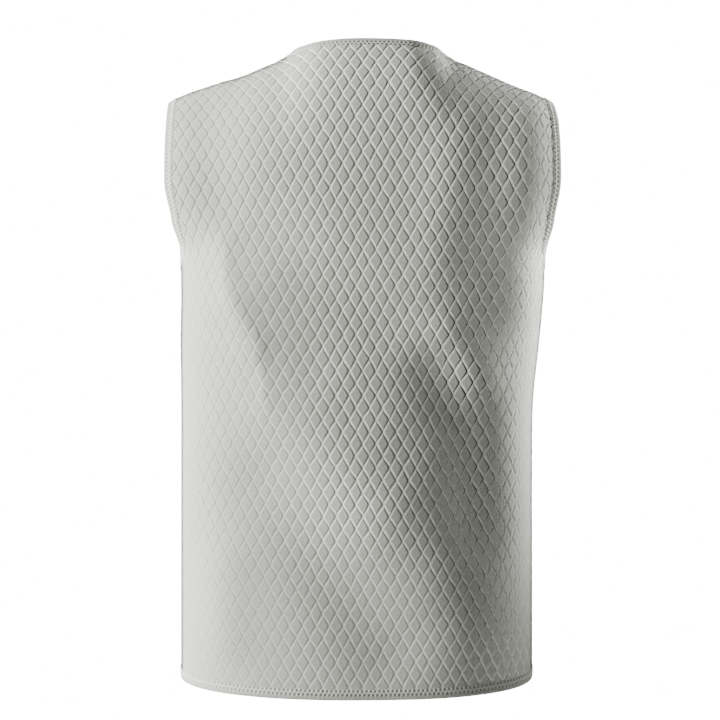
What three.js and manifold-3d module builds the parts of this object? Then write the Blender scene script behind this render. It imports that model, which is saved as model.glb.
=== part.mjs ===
// Heated vest in quilted knit, in the form it keeps when worn, size medium.
// Millimetres, +Z up, -Y out of the wearer's back, +X to the wearer's right.
// The origin lies midway between the shoulders, at the height where the vest sits on them.
import * as THREE from "three";
import Module from "manifold-3d";
import { mergeVertices } from "three/addons/utils/BufferGeometryUtils.js";

// Driving dimensions
const WALL = 3; // the quilted knit, outside to inside
const SEAM_GAP = 0.3; // left between two pieces that meet
const HEM = { centre: -617.8, side: -606.3, curve: 2.2 }; // where the panels end, above the hem band
const YOKE_Z = -110; // below it the sections are level, above it the cloth bends over the shoulders
const ROUNDNESS = 2.5; // exponent of the level sections: 2 is an ellipse, more is boxier
const BACK_NECK_Z = 25; // the back panel's edge at the nape
const BACK_NECK_CURVE = 2; // exponent of the back neckline: more keeps it level for longer
const V_NECK_Z = -140; // the front panels' lowest neck point
const NECK_SIDE = { left: 88, right: 95 }; // where the neckline meets the shoulder seam, from the centre
const FRONT_NECK_SLOPE = 0.35; // rise of the front yoke from the shoulder seam towards the centre
const ARMHOLE = { top: -22, bottom: -199, backDepth: 76, frontDepth: 80 };
const BAND_WIDTH = 10;
const BAND_THICKNESS = 4.4;
const BAND_BEVEL = 1;
const BAND_GAP = 1.2; // between a band and the cloth edge that it finishes
const ZIP_WIDTH = 14.4;
const ZIP_TAPE = { bottom: 0.6, top: 2.2 }; // heights above the inside of the cloth
const ZIP_CHAIN = { width: 5.2, top: 3.8 };
const ZIP_SLIDER = { width: 9, length: 12, height: 3.2 };
const ZIP_PULL = { width: 5.5, length: 24, thickness: 1.4 };
const CENTRE_EDGE = ZIP_WIDTH / 2 + SEAM_GAP; // the front panels' edge beside the zip

// Level sections of the inside of the cloth, hem to yoke: half widths, and depths to the back and front.
const LEVELS = [
  { z: -630, left: 185, right: 173, back: 104, front: 114 },
  { z: -500, left: 185, right: 173, back: 103, front: 116 },
  { z: -400, left: 185, right: 173, back: 100, front: 112 },
  { z: -333, left: 185, right: 174, back: 100, front: 112 },
  { z: -270, left: 185.5, right: 180.5, back: 102, front: 116 },
  { z: -215, left: 185, right: 185, back: 106, front: 120 },
  { z: -180, left: 188.5, right: 188, back: 109, front: 122 },
  { z: -150, left: 212.5, right: 210, back: 111, front: 120 },
  { z: YOKE_Z, left: 231, right: 228.5, back: 112, front: 116 },
];

// The line of the shoulders, neck to tip: distances from the centre on each side, and the height there.
const RIDGE = [
  { left: 0, right: 0, z: 58 },
  { left: 40, right: 45, z: 52 },
  { left: 62, right: 70, z: 36 },
  { left: 78, right: 87, z: 20.5 },
  { left: 96, right: 107, z: 12 },
  { left: 127, right: 136, z: -0.7 },
  { left: 150, right: 150, z: -7 },
  { left: 199, right: 195, z: -27 },
  { left: 216, right: 213, z: -52 },
];

// Soft folds of the back, as seen from behind: a crest (height above 0) or a valley, from one place by way of
// another to a third.
const FOLDS = [
  { fromX: -128, fromZ: -242, midX: -77, midZ: -331, toX: 22, toZ: -430, width: 42, height: 6.5 },
  { fromX: -141, fromZ: -182, midX: -125, midZ: -240, toX: -110, toZ: -278, width: 15, height: 2.2 },
  { fromX: -17, fromZ: -316, midX: 0, midZ: -331, toX: 17, toZ: -346, width: 36, height: 3 },
  { fromX: -100, fromZ: -158, midX: -52, midZ: -207, toX: 22, toZ: -247, width: 40, height: -4 },
  { fromX: -100, fromZ: -420, midX: -57, midZ: -474, toX: 27, toZ: -573, width: 40, height: -6 },
  { fromX: 166, fromZ: -52, midX: 163, midZ: -130, toX: 161, toZ: -235, width: 27, height: 5 },
  { fromX: 62, fromZ: 2, midX: 94, midZ: -60, toX: 78, toZ: -190, width: 30, height: 3.5 },
  { fromX: 77, fromZ: -306, midX: 104, midZ: -356, toX: 114, toZ: -460, width: 30, height: -6 },
  { fromX: 85, fromZ: -266, midX: 95, midZ: -281, toX: 116, toZ: -309, width: 20, height: 3 },
  { fromX: 77, fromZ: -519, midX: 87, midZ: -534, toX: 97, toZ: -549, width: 36, height: 2 },
  { fromX: -139, fromZ: -499, midX: -139, midZ: -529, toX: -139, toZ: -568, width: 26, height: 4 },
  { fromX: -156, fromZ: -44, midX: -153, midZ: -93, toX: -149, toZ: -133, width: 32, height: -6 },
];
const FOLD_FADE = 40; // depth over which the folds die out towards the side seams

// Columns and rows of the facets
const NECK_COLUMNS = { back: 6, front: 9 };
const SHOULDER_COLUMNS = 4;
const ARMHOLE_COLUMNS = 12;
const ROWS = 22;
const ROW_CROWDING = 1.3; // above 1 crowds the rows towards the shoulders
const V_CROWDING = 1.8; // above 1 crowds the columns of the V neck towards the shoulder
const SPREAD = 1.65; // above 1 lets the columns run straight up from the hem before they lean to the armhole
const NECK_SHARE = 0.26; // of a panel's half width at the hem, under the neckline
const SHOULDER_SHARE = 0.5; // and under the neckline and shoulder seam together
const CURVE_STEPS = 40; // for measuring lengths along a curve

// Colours
const QUILT_GREY = 0xc9ccc5;
const BAND_GREY = 0xc3c6bf;
const ZIP_GREY = 0xb4b7b1;

const lerp = THREE.MathUtils.lerp;

// A column of a table at a place, on a smooth curve that is level at both ends.
function alongTable(rows, key, value, at) {
  const ascending = rows[1][at] > rows[0][at];
  let i = 0;
  while (i < rows.length - 2 && (ascending ? value > rows[i + 1][at] : value < rows[i + 1][at])) i += 1;
  const slope = (k) => {
    if (k === 0 || k === rows.length - 1) return 0;
    return (rows[k + 1][key] - rows[k - 1][key]) / (rows[k + 1][at] - rows[k - 1][at]);
  };
  const span = rows[i + 1][at] - rows[i][at];
  const t = THREE.MathUtils.clamp((value - rows[i][at]) / span, 0, 1);
  const [t2, t3] = [t * t, t * t * t];
  return (
    (2 * t3 - 3 * t2 + 1) * rows[i][key] +
    (t3 - 2 * t2 + t) * span * slope(i) +
    (3 * t2 - 2 * t3) * rows[i + 1][key] +
    (t3 - t2) * span * slope(i + 1)
  );
}

// The height of the line of the shoulders: behind, it climbs the neck, and in front it runs on straight.
function ridgeZ(face, side, x) {
  const neck = NECK_SIDE[side];
  if (face === "back" || x > neck) return alongTable(RIDGE, "z", x, side);
  return alongTable(RIDGE, "z", neck, side) + FRONT_NECK_SLOPE * (neck - x);
}

// A curve measured by its length: samples it, then gives the parameter at a share of the length and back.
function measured(pointAt, last) {
  const lengths = [0];
  let before = pointAt(0);
  for (let k = 1; k <= CURVE_STEPS; k += 1) {
    const point = pointAt((last * k) / CURVE_STEPS);
    lengths.push(lengths[k - 1] + Math.hypot(point[0] - before[0], point[1] - before[1]));
    before = point;
  }
  const total = lengths[CURVE_STEPS];
  const parameterAt = (share) => {
    const wanted = THREE.MathUtils.clamp(share, 0, 1) * total;
    let k = 1;
    while (k < CURVE_STEPS && lengths[k] < wanted) k += 1;
    const part = (wanted - lengths[k - 1]) / (lengths[k] - lengths[k - 1]);
    return (last * (k - 1 + part)) / CURVE_STEPS;
  };
  const shareAt = (parameter) => {
    const place = (THREE.MathUtils.clamp(parameter, 0, last) / last) * CURVE_STEPS;
    const k = Math.min(CURVE_STEPS - 1, Math.floor(place));
    return lerp(lengths[k], lengths[k + 1], place - k) / total;
  };
  return { total, parameterAt, shareAt };
}

// One quarter of a level section, from the centre line to the side seam.
function quarter(face, side, z) {
  const width = alongTable(LEVELS, side, z, "z");
  const depth = alongTable(LEVELS, face, z, "z");
  const power = 2 / ROUNDNESS;
  const pointAt = (angle) => [width * Math.sin(angle) ** power, depth * Math.cos(angle) ** power];
  const length = measured(pointAt, Math.PI / 2);
  const angleOfX = (x) => Math.asin(Math.min(1, x / width) ** (1 / power));
  const angleOfDepth = (y) => Math.acos(Math.min(1, y / depth) ** (1 / power));
  return {
    total: length.total,
    at: (share) => pointAt(length.parameterAt(share)),
    shareOfX: (x) => length.shareAt(angleOfX(x)),
    shareOfDepth: (y) => length.shareAt(angleOfDepth(y)),
  };
}

const yokeBase = {};
for (const face of ["back", "front"]) {
  for (const side of ["left", "right"]) yokeBase[face + side] = quarter(face, side, YOKE_Z);
}

// The quarter ellipse that the cloth takes from the yoke's base over to the line of the shoulders.
function yokeArc(face, side, share) {
  const [x, depth] = yokeBase[face + side].at(share);
  const rise = ridgeZ(face, side, x) - YOKE_Z;
  const pointAt = (angle) => [depth * Math.cos(angle), rise * Math.sin(angle)];
  return { x, depth, rise, pointAt, length: measured(pointAt, Math.PI / 2) };
}

// A place on the cloth: its share of the way from the centre line to the side, and its height along the cloth
// above the yoke's base. Gives the point on the inside of the cloth, before folds.
function clothPoint(face, side, share, height) {
  const mirror = side === "left" ? -1 : 1;
  const outward = face === "back" ? -1 : 1;
  if (height <= 0) {
    const [x, depth] = quarter(face, side, YOKE_Z + height).at(share);
    return new THREE.Vector3(mirror * x, outward * depth, YOKE_Z + height);
  }
  const arc = yokeArc(face, side, share);
  const [depth, rise] = arc.pointAt(arc.length.parameterAt(height / arc.length.total));
  return new THREE.Vector3(mirror * arc.x, outward * depth, YOKE_Z + rise);
}

// How far outside the cloth a point lies: below 0 within the body, 0 on the cloth.
function outsideness(point) {
  const side = point.x < 0 ? "left" : "right";
  const face = point.y < 0 ? "back" : "front";
  const [x, y] = [Math.abs(point.x), Math.abs(point.y)];
  const level = Math.min(point.z, YOKE_Z);
  const width = alongTable(LEVELS, side, level, "z");
  const depth = alongTable(LEVELS, face, level, "z");
  const across = (x / width) ** ROUNDNESS;
  if (point.z <= YOKE_Z) return across + (y / depth) ** ROUNDNESS - 1;
  const localDepth = depth * Math.max(1e-6, 1 - across) ** (1 / ROUNDNESS);
  return (y / localDepth) ** 2 + ((point.z - YOKE_Z) / (ridgeZ(face, side, x) - YOKE_Z)) ** 2 - 1;
}

function clothNormal(point) {
  const step = 0.4;
  const slope = (axis) => {
    const [near, far] = [point.clone(), point.clone()];
    near[axis] -= step;
    far[axis] += step;
    return outsideness(far) - outsideness(near);
  };
  return new THREE.Vector3(slope("x"), slope("y"), slope("z")).normalize();
}

// How far a point lies from a straight run between two places, as seen from behind.
function distanceToRun(point, fromX, fromZ, toX, toZ) {
  const [alongX, alongZ] = [toX - fromX, toZ - fromZ];
  const share = ((point.x - fromX) * alongX + (point.z - fromZ) * alongZ) / (alongX ** 2 + alongZ ** 2);
  const nearest = THREE.MathUtils.clamp(share, 0, 1);
  return Math.hypot(point.x - fromX - nearest * alongX, point.z - fromZ - nearest * alongZ);
}

// How far the folds lift the cloth at a point of the back.
function foldLift(point) {
  if (point.y > 0) return 0;
  let lift = 0;
  for (const fold of FOLDS) {
    const upper = distanceToRun(point, fold.fromX, fold.fromZ, fold.midX, fold.midZ);
    const lower = distanceToRun(point, fold.midX, fold.midZ, fold.toX, fold.toZ);
    lift += fold.height * Math.exp(-((Math.min(upper, lower) / fold.width) ** 2));
  }
  return lift * (1 - Math.exp(-((point.y / FOLD_FADE) ** 2)));
}

// Turns a place in the view from behind or in front into a place on the cloth.
function placeAt(face, side, x, z) {
  if (z <= YOKE_Z) return { share: quarter(face, side, z).shareOfX(x), height: z - YOKE_Z };
  const share = yokeBase[face + side].shareOfX(x);
  const arc = yokeArc(face, side, share);
  const angle = Math.asin(Math.min(1, (z - YOKE_Z) / arc.rise));
  return { share, height: arc.length.shareAt(angle) * arc.length.total };
}

// A place on the neckline, from the centre line (0) to the shoulder seam (1).
function neckPlace(face, side, w) {
  const end = NECK_SIDE[side];
  const endZ = ridgeZ(face, side, end);
  if (w === 1) return shoulderPlace(face, side, 0);
  if (face === "back") return placeAt(face, side, end * w, lerp(BACK_NECK_Z, endZ, w ** BACK_NECK_CURVE));
  const crowded = 1 - (1 - w) ** V_CROWDING;
  return placeAt(face, side, lerp(CENTRE_EDGE, end, crowded ** 0.9), lerp(V_NECK_Z, endZ, crowded));
}

// A place on the shoulder seam, from the neck (0) to the tip (1).
function shoulderPlace(face, side, w) {
  const share = yokeBase[face + side].shareOfX(lerp(NECK_SIDE[side], tipX[side], w));
  return { share, height: yokeArc(face, side, share).length.total - SEAM_GAP / 2 };
}

// A place on the armhole, from the shoulder tip (0) to the side seam under the arm (1).
function armholePlace(face, side, w) {
  const middle = (ARMHOLE.top + ARMHOLE.bottom) / 2;
  const z = middle + (ARMHOLE.top - middle) * Math.cos(Math.PI * w);
  const depth = ARMHOLE[face + "Depth"] * Math.sin(Math.PI * w);
  if (w === 0) return shoulderPlace(face, side, 1);
  if (z <= YOKE_Z) return { share: quarter(face, side, z).shareOfDepth(depth), height: z - YOKE_Z };
  let [inner, outer] = [0, 1];
  for (let k = 0; k < CURVE_STEPS; k += 1) {
    const share = (inner + outer) / 2;
    const arc = yokeArc(face, side, share);
    const within = (depth / arc.depth) ** 2 + ((z - YOKE_Z) / arc.rise) ** 2 < 1;
    [inner, outer] = within ? [share, outer] : [inner, share];
  }
  const arc = yokeArc(face, side, inner);
  const angle = Math.atan2((z - YOKE_Z) / arc.rise, depth / arc.depth);
  return { share: inner, height: arc.length.shareAt(angle) * arc.length.total };
}

// Where the shoulder line comes down to the top of the armhole.
const tipX = {};
for (const side of ["left", "right"]) {
  let [inner, outer] = [NECK_SIDE[side], RIDGE.at(-1)[side]];
  for (let k = 0; k < CURVE_STEPS; k += 1) {
    const x = (inner + outer) / 2;
    [inner, outer] = ridgeZ("back", side, x) > ARMHOLE.top ? [x, outer] : [inner, x];
  }
  tipX[side] = inner;
}

// The columns of half a panel: each one's share of the width at the hem and its place on the top edge.
function columnTops(face, side) {
  const tops = [];
  for (let k = 0; k < NECK_COLUMNS[face]; k += 1) {
    const w = k / NECK_COLUMNS[face];
    tops.push({ atHem: NECK_SHARE * w, ...neckPlace(face, side, w) });
  }
  for (let k = 0; k < SHOULDER_COLUMNS; k += 1) {
    const w = k / SHOULDER_COLUMNS;
    tops.push({ atHem: lerp(NECK_SHARE, SHOULDER_SHARE, w), ...shoulderPlace(face, side, w) });
  }
  for (let k = 0; k <= ARMHOLE_COLUMNS; k += 1) {
    const w = k / ARMHOLE_COLUMNS;
    tops.push({ atHem: lerp(SHOULDER_SHARE, 1, w), ...armholePlace(face, side, w) });
  }
  return tops;
}

// The inside points of half a panel, column by column from the centre line, each from the hem up.
function halfPanel(face, side) {
  return columnTops(face, side).map((top, index, all) => {
    const hemHeight = lerp(HEM.centre, HEM.side, top.atHem ** HEM.curve) - YOKE_Z;
    const column = [];
    for (let row = 0; row <= ROWS; row += 1) {
      const t = 1 - (1 - row / ROWS) ** ROW_CROWDING;
      const height = lerp(hemHeight, top.height, t);
      const length = quarter(face, side, YOKE_Z + Math.min(0, height)).total;
      const start = face === "front" ? CENTRE_EDGE / length : 0;
      let share = lerp(lerp(start, 1, top.atHem), top.share, t ** SPREAD);
      if (index === 0) share = start;
      if (index === all.length - 1) share = 1 - SEAM_GAP / 2 / length;
      column.push(clothPoint(face, side, share, height));
    }
    return column;
  });
}

// A closed wall: the grid of inside points, the same points a wall's thickness out, and the rim between them.
function wallGeometry(columns, facesOut) {
  const positions = [];
  const [across, up] = [columns.length, columns[0].length];
  for (const thickness of [0, WALL]) {
    for (const column of columns) {
      for (const point of column) {
        const normal = clothNormal(point);
        positions.push(...point.clone().addScaledVector(normal, thickness + foldLift(point)).toArray());
      }
    }
  }
  const indices = [];
  const vertex = (layer, i, j) => (layer * across + i) * up + j;
  const face = (a, b, c, d) => {
    if (facesOut) indices.push(a, b, c, a, c, d);
    else indices.push(a, c, b, a, d, c);
  };
  const shorterSplit = (corners, rising) => {
    const [a, b, c, d] = corners;
    if (rising) face(a, b, c, d);
    else face(b, c, d, a);
  };
  for (let i = 0; i < across - 1; i += 1) {
    for (let j = 0; j < up - 1; j += 1) {
      const ring = [[i, j], [i + 1, j], [i + 1, j + 1], [i, j + 1]];
      const [a, b, c, d] = ring.map(([m, n]) => columns[m][n]);
      const rising = a.distanceTo(c) <= b.distanceTo(d);
      shorterSplit(ring.map(([m, n]) => vertex(1, m, n)), rising);
      const inside = ring.map(([m, n]) => vertex(0, m, n));
      shorterSplit([inside[0], inside[3], inside[2], inside[1]], rising);
    }
    face(vertex(0, i, 0), vertex(0, i + 1, 0), vertex(1, i + 1, 0), vertex(1, i, 0));
    const j = up - 1;
    face(vertex(1, i, j), vertex(1, i + 1, j), vertex(0, i + 1, j), vertex(0, i, j));
  }
  for (let j = 0; j < up - 1; j += 1) {
    face(vertex(1, 0, j), vertex(1, 0, j + 1), vertex(0, 0, j + 1), vertex(0, 0, j));
    const i = across - 1;
    face(vertex(0, i, j), vertex(0, i, j + 1), vertex(1, i, j + 1), vertex(1, i, j));
  }
  return indexed(positions, indices);
}

function indexed(positions, indices) {
  const geometry = new THREE.BufferGeometry();
  geometry.setAttribute("position", new THREE.Float32BufferAttribute(positions, 3));
  geometry.setIndex(indices);
  geometry.computeVertexNormals();
  return geometry;
}

// A closed solid through sections that each hold the same number of points, in order round the section.
function sectionsGeometry(sections, closedLoop) {
  const sides = sections[0].length;
  const indices = [];
  const last = closedLoop ? sections.length : sections.length - 1;
  for (let i = 0; i < last; i += 1) {
    const next = (i + 1) % sections.length;
    for (let k = 0; k < sides; k += 1) {
      const after = (k + 1) % sides;
      indices.push(i * sides + k, next * sides + after, next * sides + k);
      indices.push(i * sides + k, i * sides + after, next * sides + after);
    }
  }
  if (!closedLoop) {
    const outline = sections[0].map((_, k) => k);
    const end = (sections.length - 1) * sides;
    for (let k = 1; k < outline.length - 1; k += 1) {
      indices.push(0, k + 1, k);
      indices.push(end, end + k, end + k + 1);
    }
  }
  return indexed(sections.flat().flatMap((point) => point.toArray()), indices);
}

// A folded band along an edge of the cloth. Each station is a point on the inside of the edge, and the way
// out of the cloth there, as long as the band is wide.
function bandSections(stations) {
  const [low, high] = [(WALL - BAND_THICKNESS) / 2, (WALL + BAND_THICKNESS) / 2];
  const near = BAND_GAP / BAND_WIDTH;
  const far = 1 - BAND_BEVEL / BAND_WIDTH;
  const outline = [
    { out: near, up: low },
    { out: far, up: low },
    { out: 1, up: low + BAND_BEVEL },
    { out: 1, up: high - BAND_BEVEL },
    { out: far, up: high },
    { out: near, up: high },
  ];
  return stations.map(({ point, out }) => {
    const normal = clothNormal(point);
    const lift = foldLift(point);
    return outline.map((corner) =>
      point.clone().addScaledVector(out, corner.out).addScaledVector(normal, corner.up + lift),
    );
  });
}

// The way out of the cloth at each point of an edge, square to the edge and flat on the cloth.
function edgeStations(points, closedLoop) {
  const count = points.length;
  return points.map((point, i) => {
    const before = points[closedLoop ? (i - 1 + count) % count : Math.max(0, i - 1)];
    const after = points[closedLoop ? (i + 1) % count : Math.min(count - 1, i + 1)];
    const along = after.clone().sub(before).normalize();
    const out = new THREE.Vector3().crossVectors(clothNormal(point), along).setLength(BAND_WIDTH);
    return { point, out, along };
  });
}

const middleOf = (a, b) => a.clone().add(b).multiplyScalar(0.5);

// Points along the edges of half a panel, from the centre line outward.
const topEdge = (face, side) => halves[face + side].map((column) => column.at(-1));
const neckEdge = (face, side) => topEdge(face, side).slice(0, NECK_COLUMNS[face] + 1);
const armholeEdge = (face, side) => topEdge(face, side).slice(-ARMHOLE_COLUMNS - 1);
const hemEdge = (face, side) => halves[face + side].map((column) => column[0]);

const halves = {};
for (const face of ["back", "front"]) {
  for (const side of ["left", "right"]) halves[face + side] = halfPanel(face, side);
}

// Joins two runs of points whose meeting ends lie a seam's gap apart.
function joinAtSeam(first, second) {
  return [...first.slice(0, -1), middleOf(first.at(-1), second[0]), ...second.slice(1)];
}

// Round one armhole: up the back from under the arm, over the shoulder tip and down the front.
function armholeLoop(side) {
  const run = joinAtSeam(armholeEdge("back", side).reverse(), armholeEdge("front", side));
  const underArm = middleOf(run[0], run.at(-1));
  const loop = [underArm, ...run.slice(1, -1)];
  return side === "left" ? loop : loop.reverse();
}

// Round the neck: up the left front, behind the neck and down the right front.
function neckRun() {
  const half = (side) => joinAtSeam(neckEdge("front", side), neckEdge("back", side).reverse());
  return [...half("left"), ...half("right").reverse().slice(1)];
}

// Round the hem from the zip on the right, behind the body, to the zip on the left.
function hemRun() {
  const right = joinAtSeam(hemEdge("front", "right"), hemEdge("back", "right").reverse());
  const left = joinAtSeam(hemEdge("back", "left"), hemEdge("front", "left").reverse());
  return [...right, ...left.slice(1)];
}

// At the foot of the neckline the band is cut upright beside the zip, so its way out leans along the edge.
function mitred(stations) {
  const foot = stations[0].along;
  const slant = BAND_WIDTH * Math.abs(foot.z / Math.hypot(foot.x, foot.y));
  for (const [end, direction] of [[0, 1], [stations.length - 1, -1]]) {
    let travelled = 0;
    for (let i = end; travelled < 2 * slant; i += direction) {
      const lean = (slant - travelled / 2) * direction;
      stations[i].out.addScaledVector(stations[i].along, lean);
      travelled += stations[i].point.distanceTo(stations[i + direction].point);
    }
  }
  return stations;
}

const wasm = await Module();
wasm.setup();

function solidOf(geometry) {
  const bare = geometry.clone();
  bare.deleteAttribute("normal");
  bare.deleteAttribute("uv");
  const merged = mergeVertices(bare, 1e-4);
  return new wasm.Manifold(
    new wasm.Mesh({
      numProp: 3,
      vertProperties: new Float32Array(merged.attributes.position.array),
      triVerts: new Uint32Array(merged.index.array),
    }),
  );
}

function geometryOf(solid) {
  const mesh = solid.getMesh();
  return indexed(Array.from(mesh.vertProperties), Array.from(mesh.triVerts));
}

// The closed zip down the centre front: tape and chain as one strip, with its slider and pull at the top.
function zipGeometry() {
  const line = halves.frontright[0].map((point) => new THREE.Vector3(0, point.y, point.z));
  const top = line.at(-1).clone();
  top.z += BAND_WIDTH;
  const foot = line[0].clone();
  foot.z -= BAND_WIDTH;
  const path = [foot, ...line.slice(1, -1), top];
  const half = ZIP_WIDTH / 2;
  const chain = ZIP_CHAIN.width / 2;
  const outline = [
    [-half, ZIP_TAPE.bottom],
    [-half, ZIP_TAPE.top],
    [-chain, ZIP_TAPE.top],
    [-chain, ZIP_CHAIN.top],
    [chain, ZIP_CHAIN.top],
    [chain, ZIP_TAPE.top],
    [half, ZIP_TAPE.top],
    [half, ZIP_TAPE.bottom],
  ];
  const strip = path.map((point) =>
    outline.map(([across, up]) => new THREE.Vector3(across, point.y + up, point.z)),
  );
  const body = stripGeometry(strip, outline);
  const seat = path.at(-2);
  const slider = new THREE.BoxGeometry(ZIP_SLIDER.width, ZIP_SLIDER.height, ZIP_SLIDER.length);
  slider.translate(0, seat.y + ZIP_CHAIN.top, seat.z);
  const pull = new THREE.BoxGeometry(ZIP_PULL.width, ZIP_PULL.thickness, ZIP_PULL.length);
  const pullY = seat.y + ZIP_CHAIN.top + ZIP_SLIDER.height / 2;
  pull.translate(0, pullY, seat.z - ZIP_PULL.length / 2);
  return geometryOf(solidOf(body).add(solidOf(slider)).add(solidOf(pull)));
}

// A strip through equal sections, with its ends filled in.
function stripGeometry(sections, outline) {
  const sides = outline.length;
  const flat = outline.map(([across, up]) => new THREE.Vector2(across, up));
  const caps = THREE.ShapeUtils.triangulateShape(flat, []);
  const end = (sections.length - 1) * sides;
  const indices = [];
  for (let i = 0; i < sections.length - 1; i += 1) {
    for (let k = 0; k < sides; k += 1) {
      const after = (k + 1) % sides;
      indices.push(i * sides + k, (i + 1) * sides + k, (i + 1) * sides + after);
      indices.push(i * sides + k, (i + 1) * sides + after, i * sides + after);
    }
  }
  for (const [a, b, c] of caps) {
    indices.push(a, c, b);
    indices.push(end + a, end + b, end + c);
  }
  return indexed(sections.flat().flatMap((point) => point.toArray()), indices);
}

function piece(name, geometry, color, roughness) {
  const material = new THREE.MeshStandardMaterial({ color, roughness, metalness: 0 });
  const mesh = new THREE.Mesh(geometry, material);
  mesh.name = name;
  return mesh;
}

const vest = new THREE.Group();
vest.name = "heated_vest";

const backColumns = [...halves.backleft.slice(1).reverse(), ...halves.backright];
vest.add(piece("back_panel", wallGeometry(backColumns, true), QUILT_GREY, 0.85));
vest.add(piece("front_panel_left", wallGeometry(halves.frontleft, true), QUILT_GREY, 0.85));
vest.add(piece("front_panel_right", wallGeometry(halves.frontright, false), QUILT_GREY, 0.85));

const neckBand = bandSections(mitred(edgeStations(neckRun(), false)));
vest.add(piece("neck_band", sectionsGeometry(neckBand, false), BAND_GREY, 0.8));
for (const side of ["left", "right"]) {
  const band = bandSections(edgeStations(armholeLoop(side), true));
  vest.add(piece("armhole_band_" + side, sectionsGeometry(band, true), BAND_GREY, 0.8));
}
const hemBand = bandSections(edgeStations(hemRun(), false));
vest.add(piece("hem_band", sectionsGeometry(hemBand, false), BAND_GREY, 0.8));
vest.add(piece("front_zip", zipGeometry(), ZIP_GREY, 0.6));

export default vest;
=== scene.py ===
"""Looks of a heated vest: padded diamond knit, folded and stitched edges, and a closed front zip.

Lengths are in millimetres where the cloth is worked out, and become metres when a mesh is made.
"""

import logging
import math
from dataclasses import dataclass, field
from enum import Enum
from typing import Callable, NamedTuple

import bmesh
import bpy
import numpy as np
from mathutils import Matrix, Vector


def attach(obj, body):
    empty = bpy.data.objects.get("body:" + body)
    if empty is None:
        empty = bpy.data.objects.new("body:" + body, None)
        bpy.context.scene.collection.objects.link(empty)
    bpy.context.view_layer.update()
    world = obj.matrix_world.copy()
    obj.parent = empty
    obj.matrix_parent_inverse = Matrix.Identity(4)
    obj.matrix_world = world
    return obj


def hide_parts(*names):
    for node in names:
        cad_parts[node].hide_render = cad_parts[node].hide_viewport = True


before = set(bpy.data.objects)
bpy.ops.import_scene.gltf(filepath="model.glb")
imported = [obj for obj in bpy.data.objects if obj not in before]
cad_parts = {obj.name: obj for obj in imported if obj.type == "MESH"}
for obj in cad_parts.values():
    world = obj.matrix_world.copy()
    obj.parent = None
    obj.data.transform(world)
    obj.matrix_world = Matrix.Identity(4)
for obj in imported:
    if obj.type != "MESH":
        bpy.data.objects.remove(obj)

MM = 0.001
ROOT = "root"
LOG = logging.getLogger("vest")

# Least values that keep a root or a division sound, and a distance past every edge.
TINY = 1e-9
SMALL = 1e-6
FAR = 1000.0


class Face(Enum):
    """Which way a panel of the vest looks."""

    BACK = "back"
    FRONT = "front"

    @property
    def sign(self) -> float:
        """The way out of the panel along Y."""
        return -1.0 if self is Face.BACK else 1.0


class Side(Enum):
    """The left or right half, as seen from behind."""

    LEFT = "left"
    RIGHT = "right"

    @property
    def sign(self) -> float:
        """The way out of the half along X."""
        return -1.0 if self is Side.LEFT else 1.0


class Slot(Enum):
    """The record's material slots."""

    QUILT = "quilted_knit"
    BAND = "band_knit"
    ZIP = "zip"


class Level(NamedTuple):
    """One level section of the inside of the cloth: half widths, and depths to the back and front."""

    z: float
    left: float
    right: float
    back: float
    front: float


class RidgePoint(NamedTuple):
    """One point of the shoulder line: its distance from the centre on each side, and its height."""

    left: float
    right: float
    z: float


class Fold(NamedTuple):
    """A soft crest or valley of the back, from one place by way of another to a third, seen from behind."""

    from_x: float
    from_z: float
    mid_x: float
    mid_z: float
    to_x: float
    to_z: float
    width: float
    height: float


YOKE_Z = -110.0
LEVELS = (
    Level(z=-630, left=185, right=173, back=104, front=114),
    Level(z=-500, left=185, right=173, back=103, front=116),
    Level(z=-400, left=185, right=173, back=100, front=112),
    Level(z=-333, left=185, right=174, back=100, front=112),
    Level(z=-270, left=185.5, right=180.5, back=102, front=116),
    Level(z=-215, left=185, right=185, back=106, front=120),
    Level(z=-180, left=188.5, right=188, back=109, front=122),
    Level(z=-150, left=212.5, right=210, back=111, front=120),
    Level(z=YOKE_Z, left=231, right=228.5, back=112, front=116),
)
RIDGE = (
    RidgePoint(left=0, right=0, z=58),
    RidgePoint(left=40, right=45, z=52),
    RidgePoint(left=62, right=70, z=36),
    RidgePoint(left=78, right=87, z=20.5),
    RidgePoint(left=96, right=107, z=12),
    RidgePoint(left=127, right=136, z=-0.7),
    RidgePoint(left=150, right=150, z=-7),
    RidgePoint(left=199, right=195, z=-27),
    RidgePoint(left=216, right=213, z=-52),
)
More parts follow.
